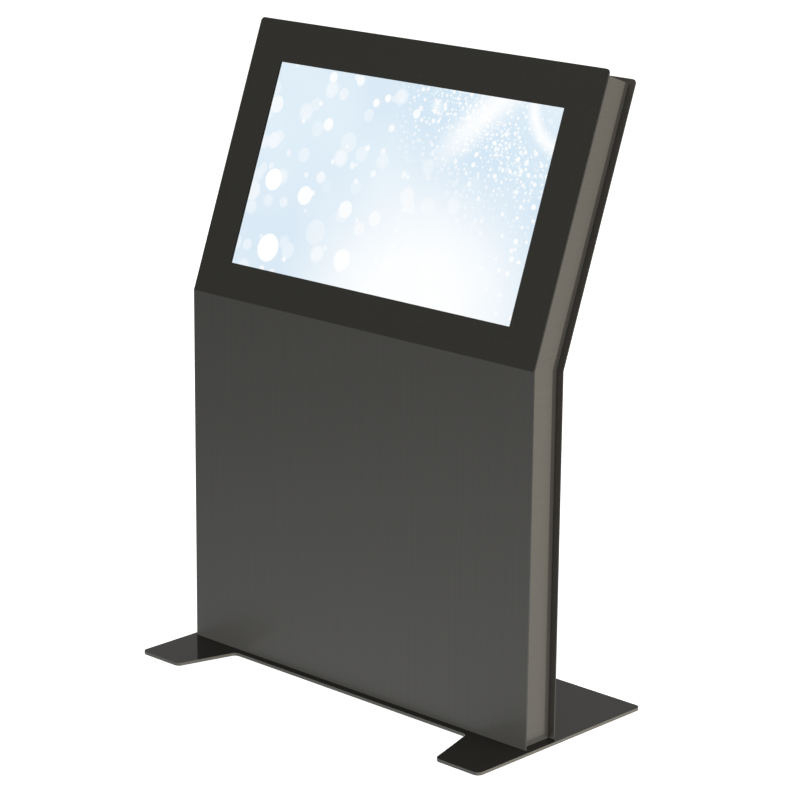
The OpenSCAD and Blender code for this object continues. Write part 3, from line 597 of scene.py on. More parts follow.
# ---- CAD nodes: broken edges and materials ---------------------------------------------
def break_edges(obj, width):
    """Bevels the sharp edges; width in millimetres."""
    bevel = obj.modifiers.new("edge_break", "BEVEL")
    bevel.width = width * MM
    bevel.segments = 2
    bevel.limit_method = "ANGLE"
    bevel.angle_limit = math.radians(40)
    bevel.use_clamp_overlap = True
    return bevel


def dress(material, edge_break, *names):
    """Gives CAD nodes their material and, unless edge_break is 0, a bevel that wide in mm."""
    for name in names:
        obj = NODES[name]
        obj.data.materials.clear()
        obj.data.materials.append(material)
        if edge_break:
            weld = obj.modifiers.new("weld", "WELD")
            weld.merge_threshold = 0.00001
            break_edges(obj, edge_break).harden_normals = True
        for polygon in obj.data.polygons:
            polygon.use_smooth = False


dress(PANEL_COAT, 0.5, "front_panel")
dress(REAR_COAT, 0.4, "rear_panel")
dress(DOOR_COAT, 0.4, "service_door")
dress(FRAME_COAT, 0.4, "chassis_base", "chassis_side_left", "chassis_side_right",
      "chassis_top")
dress(PLATE_GLOSS, 0.6, "floor_plate")
dress(COVER, 0.4, "side_cover_left", "side_cover_right")
dress(ZINC, 0.4, "base_bolts", "display_screws", "rail_screws", "lock_cam_screw")
dress(ZINC, 0.3, "frame_rivets", "front_panel_nuts", "side_cover_nuts", "equipment_screws")
dress(BLACK_SCREW, 0.4, "fan_screws", "panel_leaf_screws", "door_leaf_screws")
dress(BLACK_SCREW, 0.6, "rear_panel_screws")
dress(GALVANISED, 0.3, "cross_members", "display_rails", "equipment_plate",
      "player_bracket")
dress(HOUSING, 0.3, "lcd_housing")
dress(HINGE_COAT, 0.35, "hinge_panel_leaves", "hinge_door_leaves")
dress(HINGE_COAT, 0.3, "hinge_pins")
dress(CHROME, 0.4, "lock_body")
dress(CHROME, 0.2, "lock_plug")
dress(CAM_ZINC, 0.4, "lock_nut", "lock_cam")
dress(GLASS, 0.0, "touch_glass")
dress(SCREEN, 0.0, "lcd_panel")
dress(RUBBER, 0.3, "door_seal", "rear_gasket")
dress(RUBBER, 0.0, "glass_gasket")
dress(RUBBER, 0.6, "cable_grommet")
dress(SHEATH, 0.0, "mains_lead", "power_leads", "signal_lead")
dress(RIM_COAT, 0.2, "lcd_rim")
dress(BOARD, 0.15, "driver_board")
dress(PLASTIC, 0.5, "touch_controller", "fan_frames")
dress(PLASTIC, 0.6, "power_strip")
dress(PLASTIC, 0.3, "fan_rotor_left", "fan_rotor_right")
dress(BLACK_ALUMINIUM, 0.5, "media_player")
dress(ALUMINIUM, 0.4, "player_button")
dress(ROCKER_RED, 0.5, "strip_switch")

# the cell's face and the glass touch in the CAD: a hair of air keeps the surfaces apart
air = NODES["lcd_panel"].modifiers.new("air_gap", "DISPLACE")
air.mid_level = 0.0
air.strength = -0.0001


# ---- mesh helpers -----------------------------------------------------------------------
def new_piece(name, mesh, material, body="cabinet", smooth=False,
              stands_for=None, edge_break=0.0, place=None):
    """Turns a bmesh into a piece that rides on a CAD body.
    place maps local millimetres to the cabinet; edge_break is in millimetres."""
    if place:
        for vert in mesh.verts:
            vert.co = place(*vert.co)
    bmesh.ops.recalc_face_normals(mesh, faces=mesh.faces)
    data = bpy.data.meshes.new(name)
    mesh.to_mesh(data)
    mesh.free()
    data.materials.append(material)
    for polygon in data.polygons:
        polygon.use_smooth = smooth
    if smooth:
        data.set_sharp_from_angle(angle=math.radians(38))
    obj = bpy.data.objects.new(name, data)
    bpy.context.scene.collection.objects.link(obj)
    if edge_break:
        break_edges(obj, edge_break)
    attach(obj, body)
    if stands_for:
        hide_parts(stands_for)


def box_faces(mesh, corners):
    """Faces of a box whose eight corners run through its three axes in turn."""
    verts = [mesh.verts.new(corner) for corner in corners]
    for quad in ((0, 1, 3, 2), (4, 6, 7, 5), (0, 4, 5, 1), (2, 3, 7, 6), (0, 2, 6, 4),
                 (1, 5, 7, 3)):
        mesh.faces.new([verts[i] for i in quad])


def block(mesh, span_x, span_y, span_z):
    box_faces(mesh, [(x, y, z) for x in span_x for y in span_y for z in span_z])


def bar(mesh, start, end, half_width, thickness, side):
    """Box from start to end: side is its width axis, thickness its span across that."""
    along = (end - start).normalized()
    wide = (Vector(side) - along * Vector(side).dot(along)).normalized()
    thick = along.cross(wide)
    box_faces(mesh, [point + wide * x + thick * y for point in (start, end)
                     for x in (-half_width, half_width) for y in thickness])


def circle(count):
    """Cosine and sine of equal steps round a circle."""
    angles = [2 * math.pi * i / count for i in range(count)]
    return [(math.cos(angle), math.sin(angle)) for angle in angles]


def join_rings(mesh, first, second):
    for i in range(len(first)):
        j = (i + 1) % len(first)
        mesh.faces.new([first[i], first[j], second[j], second[i]])


def turned(mesh, centre, axis, profile, sides=24):
    """Solid of revolution. The profile is (distance along the axis, radius) pairs from one
    end to the other; it makes a ring when it ends where it starts."""
    centre, axis = Vector(centre), Vector(axis).normalized()
    side = axis.orthogonal().normalized()
    other = axis.cross(side)
    rings = []
    for along, radius in profile:
        middle = centre + axis * along
        if radius <= 1e-9:
            rings.append([mesh.verts.new(middle)])
        else:
            rings.append([mesh.verts.new(middle + (side * cos + other * sin) * radius)
                          for cos, sin in circle(sides)])
    for first, second in zip(rings, rings[1:]):
        if len(first) == len(second):
            if len(first) > 1:
                join_rings(mesh, first, second)
            continue
        for i in range(sides):
            j = (i + 1) % sides
            if len(first) == 1:
                mesh.faces.new([first[0], second[j], second[i]])
            else:
                mesh.faces.new([first[i], first[j], second[0]])
    if profile[0] == profile[-1]:
        bmesh.ops.remove_doubles(mesh, verts=rings[0] + rings[-1], dist=1e-7)
        return
    for ring in (rings[0], rings[-1]):
        if len(ring) > 1:
            mesh.faces.new(ring)


def soft_path(points, reach, steps=9):
    """A polyline with its corners eased by curves that start within reach of each corner."""
    path = [points[0]]
    for before, corner, after in zip(points, points[1:], points[2:]):
        back, ahead = before - corner, after - corner
        start = corner + back.normalized() * min(reach, back.length * 0.48)
        end = corner + ahead.normalized() * min(reach, ahead.length * 0.48)
        for i in range(steps + 1):
            k = i / steps
            path.append(start * (1 - k) ** 2 + corner * 2 * k * (1 - k) + end * k ** 2)
    path.append(points[-1])
    clean = [path[0]]
    for point in path[1:]:
        if (point - clean[-1]).length > 1e-5:
            clean.append(point)
    return clean


def tube(mesh, points, radius, sides, flat=1.0, side=None):
    """Lead swept along points, its section carried without twist.
    side starts the section's first axis; flat squeezes its second."""
    last = len(points) - 1
    tangents = [(points[min(i + 1, last)] - points[max(i - 1, 0)]).normalized()
                for i in range(last + 1)]
    side = Vector(side) if side else tangents[0].orthogonal()
    rings = []
    for point, tangent in zip(points, tangents):
        side = (side - tangent * side.dot(tangent)).normalized()
        other = tangent.cross(side)
        rings.append([mesh.verts.new(point + side * cos * radius + other * sin * radius * flat)
                      for cos, sin in circle(sides)])
    for first, second in zip(rings, rings[1:]):
        join_rings(mesh, first, second)
    mesh.faces.new(rings[0])
    mesh.faces.new(rings[-1])


def shell(mesh, top, bottom):
    """Thin closed sheet between two grids of points of the same size."""
    top = [[mesh.verts.new(point) for point in row] for row in top]
    bottom = [[mesh.verts.new(point) for point in row] for row in bottom]
    rows, columns = len(top), len(top[0])
    for i in range(rows - 1):
        for j in range(columns - 1):
            for grid in (top, bottom):
                mesh.faces.new([grid[i][j], grid[i][j + 1], grid[i + 1][j + 1],
                                grid[i + 1][j]])
    for i in range(rows - 1):
        for j in (0, -1):
            mesh.faces.new([top[i][j], top[i + 1][j], bottom[i + 1][j], bottom[i][j]])
    for j in range(columns - 1):
        for i in (0, -1):
            mesh.faces.new([top[i][j], top[i][j + 1], bottom[i][j + 1], bottom[i][j]])


def boot(mesh, tip, axis, cable_radius, body_radius, length, ribs=4):
    """Ribbed strain relief: from the body end at tip, tapering out along axis."""
    sleeve = cable_radius * 1.12
    step = 0.02     # share of the length that each rib's wall takes
    profile = [(0.0, 0.0), (0.0, body_radius)]
    for i in range(ribs):
        start, end = (i + 0.25) / ribs, (i + 0.80) / ribs
        radius = body_radius + (sleeve - body_radius) * (i / ribs)
        profile += [(length * start, radius), (length * (start + step), radius * 0.84),
                    (length * end, radius * 0.84), (length * (end + step), radius * 0.97)]
    profile += [(length, sleeve), (length, 0.0)]
    turned(mesh, tip, axis, profile)


def screw_head(mesh, centre, radius, shoulder, height, recess, floor=None, sides=24):
    """Domed head facing backward, with a round recess down to floor; millimetres."""
    floor = shoulder if floor is None else floor
    turned(mesh, centre, BACKWARD, [
        (0, 0), (0, radius), (shoulder, radius - 0.1), (height, radius - 0.8),
        (height, recess), (floor, recess - 0.2), (floor, 0)], sides)


# ---- materials of the added pieces --------------------------------------------------------
CHIP = moulded("chip_epoxy", (0.016, 0.016, 0.018),
               rough=0.42, grain=2600.0, bump=0.10, spec=0.45)
IVORY = moulded("connector_ivory", (0.62, 0.58, 0.47),
                rough=0.42, grain=1200.0, bump=0.06, spec=0.5)
SLEEVE = moulded("capacitor_sleeve", (0.018, 0.028, 0.060),
                 rough=0.30, grain=1800.0, bump=0.05, spec=0.5)
NYLON = moulded("clip_nylon", (0.055, 0.055, 0.058),
                rough=0.44, grain=1400.0, bump=0.12, spec=0.45)
TIN = zinc_plated("tinned_contact", (0.70, 0.70, 0.69), rough=0.22, spangle=900.0)
SINK_ALUMINIUM = brushed("heat_sink_aluminium", (0.66, 0.67, 0.68), along=(40, 40, 1600),
                         rough=0.34, metal=0.95, amount=0.14)
COPPER = brushed("coil_copper", (0.72, 0.36, 0.18), along=(1500, 40, 40),
                 rough=0.30, metal=1.0, amount=0.16)
FERRITE = moulded("coil_ferrite", (0.050, 0.048, 0.046),
                  rough=0.60, grain=2400.0, bump=0.30, spec=0.35)
FLEX = moulded("flex_amber", (0.34, 0.135, 0.020),
               rough=0.26, grain=700.0, bump=0.04, spec=0.5)
ROTOR = moulded("fan_rotor_plastic", (0.040, 0.040, 0.043),
                rough=0.38, grain=1500.0, bump=0.10, spec=0.45)
WIRE_RED = moulded("wire_red", (0.36, 0.020, 0.016),
                   rough=0.40, grain=900.0, bump=0.05, spec=0.45)


# ---- leads, built in metres -----------------------------------------------------------
MAINS_RADIUS = 0.0045
LEAD_RADIUS = 0.003
STRIP_OUT = 174.2           # height of the strip's outlets for the power leads
# the long power lead's straight run: x, then (depth, height) of its ends
LONG_RUN_X, LONG_RUN_LOW, LONG_RUN_HIGH = 180, (30, 220), (40, 560)


def mains_lead():
    x, depth = 230, 30
    path = [at_low(x, 40.25, -5.9), at_low(x, 40.25, 70), at_low(x, depth, 100),
            at_low(x, depth, 129.6)]
    mesh = bmesh.new()
    tube(mesh, soft_path(path, reach=0.022), MAINS_RADIUS, sides=20)
    boot(mesh, at_low(x, depth, 129.9), -UP, MAINS_RADIUS, body_radius=0.0072,
         length=0.026, ribs=5)
    new_piece("mains_lead_sheathed", mesh, SHEATH, smooth=True,
              stands_for="mains_lead")


def power_leads():
    mesh = bmesh.new()
    # short lead, from the strip to a round plug under the player
    start_x, end_x, depth = 110, -120, 30
    path = [at_low(start_x, depth, STRIP_OUT + 0.1), at_low(start_x, depth, 220),
            at_low(end_x, depth, 290), at_low(end_x, depth, 320)]
    plug = at_low(end_x, depth, 312)
    tube(mesh, soft_path(path, reach=0.040, steps=14), LEAD_RADIUS, sides=16)
    boot(mesh, at_low(start_x, depth, STRIP_OUT), UP, LEAD_RADIUS, body_radius=0.0062,
         length=0.020)
    boot(mesh, plug, -UP, LEAD_RADIUS, body_radius=0.0050, length=0.014, ribs=3)
    turned(mesh, plug, UP, [(0, 0.0), (0, 0.0053), (0.0008, 0.0058), (0.0130, 0.0058),
                            (0.0134, 0.0052), (0.0180, 0.0052), (0.0180, 0)])
    # long lead, from the strip up to the driver board
    x = LONG_RUN_X
    path = [at_low(x, depth, STRIP_OUT + 0.1), at_low(x, *LONG_RUN_LOW),
            at_low(x, *LONG_RUN_HIGH), at_up(70, 49, 34), at_up(46, 53, 95),
            at_up(46, 53, 101)]
    tube(mesh, soft_path(path, reach=0.045, steps=14), LEAD_RADIUS, sides=16)
    boot(mesh, at_low(x, depth, STRIP_OUT), UP, LEAD_RADIUS, body_radius=0.0062,
         length=0.020)
    new_piece("power_leads_sheathed", mesh, SHEATH, smooth=True,
              stands_for="power_leads")


def signal_lead():
    x, depth = -140, 30
    path = [at_low(x, depth, 472), at_low(x, depth, 500), at_low(-60, 40, 600),
            at_up(-40, 49, 34), at_up(-7, 52.3, 95), at_up(-7, 52.3, 101)]
    mesh = bmesh.new()
    tube(mesh, soft_path(path, reach=0.040, steps=14), LEAD_RADIUS, sides=16)
    boot(mesh, at_low(x, depth, 474), UP, LEAD_RADIUS, body_radius=0.0052, length=0.016)
    new_piece("signal_lead_sheathed", mesh, SHEATH, smooth=True,
              stands_for="signal_lead")


def lead_plugs():
    """Moulded plug bodies: one on the player, two on the driver board."""
    mesh = bmesh.new()
    x, depth = -140, 30
    # from height, to height, half width, half thickness
    for low, high, wide, thick in ((449.8, 453.0, 0.0095, 0.0035),
                                   (453.0, 475.0, 0.0110, 0.0056)):
        bar(mesh, at_low(x, depth, low), at_low(x, depth, high), wide, (-thick, thick), ACROSS)
    for side in (-1, 1):
        for i in range(4):
            grip_x, low = x + side * 11.0, 458 + 3.2 * i
            bar(mesh, at_low(grip_x, depth, low), at_low(grip_x, depth, low + 1.5),
                0.0006, (-0.0040, 0.0040), ACROSS)
    # x, depth, half width, half thickness
    for x, depth, wide, thick in ((-7, 52.3, 0.0078, 0.0030), (46, 53, 0.0105, 0.0036)):
        bar(mesh, at_up(x, depth, 99.5), at_up(x, depth, 111.9), wide, (-thick, thick),
            ACROSS)
        latch_depth = depth - thick / MM + 0.6
        bar(mesh, at_up(x, latch_depth, 104), at_up(x, latch_depth, 109), wide * 0.35,
            (-0.0010, 0.0006), ACROSS)
    new_piece("lead_plugs", mesh, PLASTIC, edge_break=0.5)


def lead_clips():
    """Stand-off clips that hold the long power lead off the equipment plate."""
    mesh = bmesh.new()
    x, (low_depth, low), (high_depth, high) = LONG_RUN_X, LONG_RUN_LOW, LONG_RUN_HIGH
    for z in (300, 470):
        depth = low_depth + (high_depth - low_depth) * (z - low) / (high - low)
        block(mesh, (x - 8, x + 8), (7.55, 9.2), (z - 8, z + 8))
        block(mesh, (x - 1.8, x + 1.8), (9.2, depth - 4.2), (z - 3, z + 3))
        turned(mesh, (x, depth, z - 3), UP, [(0, 3.15), (0, 4.9), (0.6, 5.2), (5.4, 5.2),
                                             (6, 4.9), (6, 3.15), (0, 3.15)])
    new_piece("lead_clips", mesh, NYLON, edge_break=0.3, place=at_low)


# ---- fans, in millimetres about each hub ---------------------------------------------
FAN_X, FAN_DEPTH, FAN_RISE = 110, 57.5, 424
BLADES = 7
BLADE_ROOT, BLADE_TIP = 11.6, 27.3
BLADE_STATIONS, BLADE_STEPS = 9, 12
# (distance along the axis, radius)
HUB = [(3.0, 0), (3.0, 11.0), (3.4, 11.8), (4.2, 12.0), (15.2, 12.0), (16.2, 11.7),
       (16.8, 10.9), (17.0, 9.8), (16.55, 9.4), (16.55, 3.2), (16.9, 2.8), (16.9, 0)]


def fan_blade(mesh, turn):
    """One cambered blade: its pitch eases, and it sweeps round, towards the tip."""
    half_thickness, height = 0.55, 9.6
    grids = ([], [])
    for i in range(BLADE_STATIONS + 1):
        k = i / BLADE_STATIONS
        radius = BLADE_ROOT + (BLADE_TIP - BLADE_ROOT) * k
        pitch = math.radians(42 - 12 * k)
        cos, sin = math.cos(pitch), math.sin(pitch)
        half_chord = 6.2 + 1.6 * math.sin(math.pi * (0.15 + 0.75 * k))
        sweep = 0.34 * k * k
        rows = ([], [])
        for j in range(BLADE_STEPS + 1):
            share = -1 + 2 * j / BLADE_STEPS
            camber = 1.15 * (1 - share * share)
            thick = half_thickness * (1 - 0.62 * abs(share) ** 3) * (1 - 0.25 * k)
            for row, sign in zip(rows, (1, -1)):
                off = camber + sign * thick
                along = half_chord * share * cos - sin * off
                angle = turn + sweep + along / max(radius, 16.0)
                row.append(Vector((radius * math.cos(angle), radius * math.sin(angle),
                                   height + half_chord * share * sin + cos * off)))
        for grid, row in zip(grids, rows):
            grid.append(row)
    shell(mesh, *grids)


def fan_impeller(side, word):
    """Hub, shaft end, blades and the moulding gates on the hub."""
    mesh = bmesh.new()
    turned(mesh, (0, 0, 0), UP, HUB, sides=56)
    turned(mesh, (0, 0, 0.5), UP, [(0, 0), (0, 1.3), (0.2, 1.5), (2.6, 1.5), (2.6, 0)])
    for blade in range(BLADES):
        fan_blade(mesh, 2 * math.pi * blade / BLADES)
    for gate in range(3):
        angle = 2 * math.pi * gate / 3 + 0.4
        turned(mesh, (6.4 * math.cos(angle), 6.4 * math.sin(angle), 16.4), UP,
               [(0, 0), (0, 1.1), (0.35, 1.1), (0.45, 0.9), (0.45, 0)], sides=14)
    new_piece("fan_impeller_" + word, mesh, ROTOR, word + "_rotor",
              smooth=True, stands_for="fan_rotor_" + word,
              place=lambda x, y, z: at_up(side * FAN_X + x, FAN_DEPTH + z, FAN_RISE - y))


def fan_wires(color, material, shift):
    """One thin wire from each fan down to the driver board's headers."""
    # x from the middle, depth, length up the slope
    route = ((100, 58.5, 393.7), (100, 57.2, 372), (62, 53.5, 275), (26, 52.4, 236),
             (26, 52.4, 216))
    mesh = bmesh.new()
    for side in (-1, 1):
        path = [at_up(side * x + shift, depth, rise) for x, depth, rise in route]
        tube(mesh, soft_path(path, reach=0.030, steps=10), radius=0.00062, sides=10)
    new_piece("fan_wires_" + color, mesh, material, smooth=True)


# ---- driver board, in millimetres on its back face --------------------------------------
BOARD_BACK, BOARD_FOOT = 49.6, 113
BOARD_HALF_WIDTH, BOARD_HEIGHT, BOARD_THICKNESS = 80, 100, 1.6
BOARD_CORNER = 3
# span across, span up the board, thickness
CHIPS = (((-30, 4), (40, 74), 1.9), ((30, 44), (45, 67), 1.6), ((14, 22), (30, 36), 1.4),
         ((-52, -44), (40, 46), 1.4), ((52, 60), (24, 30), 1.4), ((-66, -54), (58, 66), 1.6),
         ((-10, -2), (22, 28), 1.4))
# x, place up the board, radius, height
CAPACITORS = ((-58, 78, 4.0, 10.4), (-46, 78, 4.0, 10.4), (58, 78, 4.0, 10.4),
              (66, 64, 3.0, 7.4), (66, 52, 3.0, 7.4))
COIL_XS, COIL_RISE = (20, -20), 84
HEADER_X = 26               # fan headers, left and right of the middle


def at_board(x, height, rise):
    """Millimetres: x, height off the board's back face, length up from its foot."""
    return at_up(x, BOARD_BACK + height, BOARD_FOOT + rise)


def circuit_board():
    """Printed board with rounded corners."""
    mesh = bmesh.new()
    right, top = BOARD_HALF_WIDTH - BOARD_CORNER, BOARD_HEIGHT - BOARD_CORNER
    outline = []
    for x, rise, start in ((right, top, 0), (-right, top, 90), (-right, BOARD_CORNER, 180),
                           (right, BOARD_CORNER, 270)):
        for i in range(7):
            angle = math.radians(start + 15 * i)
            outline.append((x + BOARD_CORNER * math.cos(angle),
                            rise + BOARD_CORNER * math.sin(angle)))
    front, back = [[mesh.verts.new((x, height, rise)) for x, rise in outline]
                   for height in (-BOARD_THICKNESS, 0)]
    mesh.faces.new(front)
    mesh.faces.new(back)
    join_rings(mesh, front, back)
    new_piece("driver_circuit_board", mesh, BOARD,
              stands_for="driver_board", place=at_board)


def board_chips():
    """Chips, and small parts scattered clear of them along the lower part."""
    mesh = bmesh.new()
    for (left, right), (low, high), thickness in CHIPS:
        block(mesh, (left + 0.6, right - 0.6), (0.2, 0.15 + thickness),
              (low + 0.6, high - 0.6))
    scatter, clear = random.Random(21), 3
    for _ in range(34):
        x, rise = scatter.uniform(-72, 68), scatter.uniform(17, 37)
        if any(left - clear < x < right + clear and low - clear < rise < high + clear
               for (left, right), (low, high), _thickness in CHIPS):
            continue
        block(mesh, (x, x + 1.6), (-0.05, 0.6), (rise, rise + 0.9))
    new_piece("driver_board_chips", mesh, CHIP, edge_break=0.12,
              place=at_board)


def contacts(mesh, along, edges, count, upright):
    """Legs spaced along one span of a chip, on both edges of the other span. Each has a
    flat foot outside the edge and a taller heel inside it."""
    half_width = 0.28
    for i in range(count):
        middle = along[0] + (along[1] - along[0]) * (i + 0.5) / count
        wide = (middle - half_width, middle + half_width)
        for edge, outward in zip(edges, (-1, 1)):
            for reach, top in ((1.5, 0.20), (-0.9, 1.0)):
                out = sorted((edge, edge + outward * reach))
                across, rises = (out, wide) if upright else (wide, out)
                block(mesh, across, (-0.02, top), rises)


def board_contacts():
    mesh = bmesh.new()
    for across, rises, _thickness in CHIPS:
        width = across[1] - across[0]
        contacts(mesh, across, rises, max(3, int(width / 1.9)), upright=False)
        if width > 30:
            contacts(mesh, rises, across, 18, upright=True)
    new_piece("driver_board_contacts", mesh, TIN, place=at_board)


def heat_sink():
    """Finned heat sink on the large chip."""
    left, right, rises, gaps = -27, 1, (43, 71), 8
    mesh = bmesh.new()
    block(mesh, (left, right), (2.1, 3.3), rises)
    for i in range(gaps + 1):
        x = left + (right - left) * i / gaps
        # the outer fins stop flush with the base
        block(mesh, (x - 0.45 if i else x, x + 0.45 if i < gaps else x), (3.3, 8.8), rises)
    new_piece("driver_board_heat_sink", mesh, SINK_ALUMINIUM,
              edge_break=0.15, place=at_board)


def board_connectors():
    mesh = bmesh.new()
    low, mouth = -0.9, 1.3      # each connector's open end, below its solid part
    # span across, upper end, height
    for (left, right), high, top in (((-15, 1), 12, 5.8), ((35, 57), 12, 7.3),
                                     ((-62, -42), 10, 5.8)):
        block(mesh, (left, right), (0, top), (mouth, high))
        for across, heights in (((left, left + 1.0), (0, top)),
                                ((right - 1.0, right), (0, top)),
                                ((left, right), (top - 0.9, top)),
                                ((left, right), (0, 0.8))):
            block(mesh, across, heights, (low, mouth))
        for i in range(3):
            rib = low + 4 + i * 2.6
            block(mesh, (left + 2, right - 2), (top, top + 0.35), (rib, rib + 1.1))
    for side in (-1, 1):
        x = side * HEADER_X
        block(mesh, (x - 4.2, x + 4.2), (0, 5.2), (92, 99.4))
        block(mesh, (x - 3.2, x + 3.2), (1.0, 4.6), (99.4, 105))
    new_piece("driver_board_connectors", mesh, IVORY, edge_break=0.2, place=at_board)


def board_capacitors():
    mesh = bmesh.new()
    for x, rise, radius, height in CAPACITORS:
        turned(mesh, (x, 0, rise), BACKWARD, [
            (0, 0), (0, radius * 0.92), (0.5, radius), (1.4, radius), (1.8, radius * 0.93),
            (2.2, radius), (height - 0.4, radius), (height, radius * 0.94),
            (height, radius * 0.80), (height - 0.25, radius * 0.78), (height - 0.25, 0)],
            sides=28)
    new_piece("driver_board_capacitors", mesh, SLEEVE, smooth=True, place=at_board)


def can_tops_and_screws():
    """Capacitor tops, each with a raised cross, and the board's corner screws."""
    mesh = bmesh.new()
    for x, rise, radius, height in CAPACITORS:
        rim = radius * 0.77
        turned(mesh, (x, height - 0.24, rise), BACKWARD,
               [(0, 0), (0, rim), (0.16, rim), (0.16, 0)])
        for angle in (0.3, 0.3 + math.pi / 2):
            middle = Vector((x, height - 0.05, rise))
            arm = Vector((math.cos(angle), 0, math.sin(angle))) * radius * 0.66
            bar(mesh, middle - arm, middle + arm, 0.16, (-0.05, 0.05), BACKWARD)
    for rise in (4.5, BOARD_HEIGHT - 4.5):
        for x in (-75, 75):
            screw_head(mesh, (x, 0, rise), radius=2.7, shoulder=1.2, height=1.9, recess=1.0)
    new_piece("driver_board_can_tops_and_screws", mesh, TIN,
              smooth=True, place=at_board)


def board_coils():
    mesh = bmesh.new()
    for x in COIL_XS:
        block(mesh, (x - 6, x + 6), (0, 1.2), (COIL_RISE - 6, COIL_RISE + 6))
        turned(mesh, (x, 1.2, COIL_RISE), BACKWARD, [
            (0, 0), (0, 3.0), (4.2, 3.0), (4.2, 5.6), (5.2, 5.8), (5.4, 5.2), (5.4, 0)],
            sides=32)
    new_piece("driver_board_coil_cores", mesh, FERRITE,
              edge_break=0.2, place=at_board)

    mesh = bmesh.new()
    round_steps, loop_radius = 40, 4.0
    for x in COIL_XS:
        for i in range(4):
            loop = []
            for j in range(round_steps + 1):
                angle = 2 * math.pi * j / round_steps
                loop.append(Vector((x + loop_radius * math.cos(angle), 1.8 + i * 0.95,
                                    COIL_RISE + loop_radius * math.sin(angle))))
            tube(mesh, loop, radius=0.47, sides=8)
    new_piece("driver_board_coil_windings", mesh, COPPER, smooth=True, place=at_board)


# ---- touch controller, in millimetres on the tilted part -----------------------------
def touch_flat_tail():
    """Flat tail from the controller round the display's lower edge to the glass."""
    # depth, length up the slope
    route = ((4.9, 51.3), (5.6, 46.8), (38, 46.8), (49.4, 56), (49.4, 79))
    path = soft_path([Vector((-269, depth, rise)) for depth, rise in route],
                     reach=9.0, steps=10)
    mesh = bmesh.new()
    tube(mesh, path, radius=9.5, sides=24, flat=0.022, side=ACROSS)
    new_piece("touch_flat_tail", mesh, FLEX, smooth=True, place=at_up)


def touch_controller_parts():
    mesh = bmesh.new()
    for across, depths in (((-329.6, -318.4), (47.4, 51.6)), ((-279.6, -258.4), (50.0, 51.6)),
                           ((-279.6, -258.4), (47.3, 48.6))):
        block(mesh, across, depths, (73.6, 80.8))
    new_piece("touch_controller_sockets", mesh, IVORY, edge_break=0.15, place=at_up)

    mesh = bmesh.new()
    back = 55
    for rise in (78, 114):
        for x in (-341, -241):
            screw_head(mesh, (x, back, rise), radius=2.6, shoulder=1.0, height=1.6,
                       recess=0.9)
    for i in range(12):
        x = -318 + i * 5
        block(mesh, (x, x + 1.8), (back, back + 0.35), (88, 108))
    new_piece("touch_controller_screws_and_ribs", mesh, BLACK_SCREW,
              edge_break=0.1, place=at_up)


# ---- power strip sockets, in millimetres on the upright part --------------------------
SOCKET_XS, SOCKET_HEIGHT = (150, 215, 280), 152
# a spring's bent outline: depth, distance from the socket's middle
SPRING = ((38.1, 17.2), (40, 16.9), (42, 16.1), (44.2, 15.3), (45.6, 15.4), (47, 16.2),
          (48.6, 17.3))


def earth_springs():
    """A pair of bent springs and a middle screw in each socket."""
    mesh = bmesh.new()
    for x in SOCKET_XS:
        for side in (-1, 1):
            inner, outer = [[[Vector((x + width, depth + back,
                                      SOCKET_HEIGHT + side * (away + out)))
                              for width in (-2.4, 0, 2.4)] for depth, away in SPRING]
                            for back, out in ((0, 0), (0.2, 0.5))]
            shell(mesh, inner, outer)
        screw_head(mesh, (x, 38.05, SOCKET_HEIGHT), radius=2.4, shoulder=0.7, height=1.2,
                   recess=0.9, sides=20)
    new_piece("socket_earth_springs", mesh, TIN, place=at_low)


def socket_collars():
    """Ring round each socket's mouth and round its two pin holes."""
    mesh = bmesh.new()
    for x in SOCKET_XS:
        turned(mesh, (x, 50.0, SOCKET_HEIGHT), BACKWARD, [
            (0.0, 18.0), (0.0, 19.6), (0.5, 19.9), (0.9, 19.6), (1.0, 18.6), (0.7, 18.1),
            (0.0, 18.0)], sides=64)
        for pin in (-9.5, 9.5):
            turned(mesh, (x + pin, 38.02, SOCKET_HEIGHT), BACKWARD,
                   [(0, 2.5), (0, 3.6), (0.5, 3.5), (0.7, 2.9), (0.5, 2.5), (0, 2.5)])
    new_piece("socket_collars", mesh, PLASTIC, smooth=True,
              place=at_low)


# ---- media player, in millimetres on the upright part ---------------------------------
SMALL_PORTS = ((-200, -186), (-175, -161))
PLAYER_SIDE, PLAYER_DEPTH, BUTTON_HEIGHT = -40, 30, 390
PORT_FOOT = 445.1


def port_shell(mesh, left, right, wall, top):
    """Rectangular metal frame that stands up to top."""
    front, back = 20.3, 27.7
    for across, depths in (((left, right), (front, front + wall)),
                           ((left, right), (back - wall, back)),
                           ((left, left + wall), (front, back)),
                           ((right - wall, right), (front, back))):
        block(mesh, across, depths, (PORT_FOOT, top))


def player_ports_and_screws():
    mesh = bmesh.new()
    for left, right in SMALL_PORTS:
        port_shell(mesh, left + 0.3, right - 0.3, wall=0.5, top=449.9)
    port_shell(mesh, -109.6, -80.4, wall=0.6, top=450.4)
    for x in (-224, -46):
        for z in (336, 444):
            screw_head(mesh, (x, 50.0, z), radius=2.9, shoulder=0.7, height=1.2,
                       recess=1.1, floor=0.6)
    # bezel round the button
    turned(mesh, (PLAYER_SIDE, PLAYER_DEPTH, BUTTON_HEIGHT), ACROSS, [
        (0, 6.3), (0, 7.9), (0.5, 7.8), (0.7, 7.4), (0.7, 6.8), (0.4, 6.3), (0, 6.3)],
        sides=40)
    new_piece("player_ports_and_screws", mesh, TIN, place=at_low)


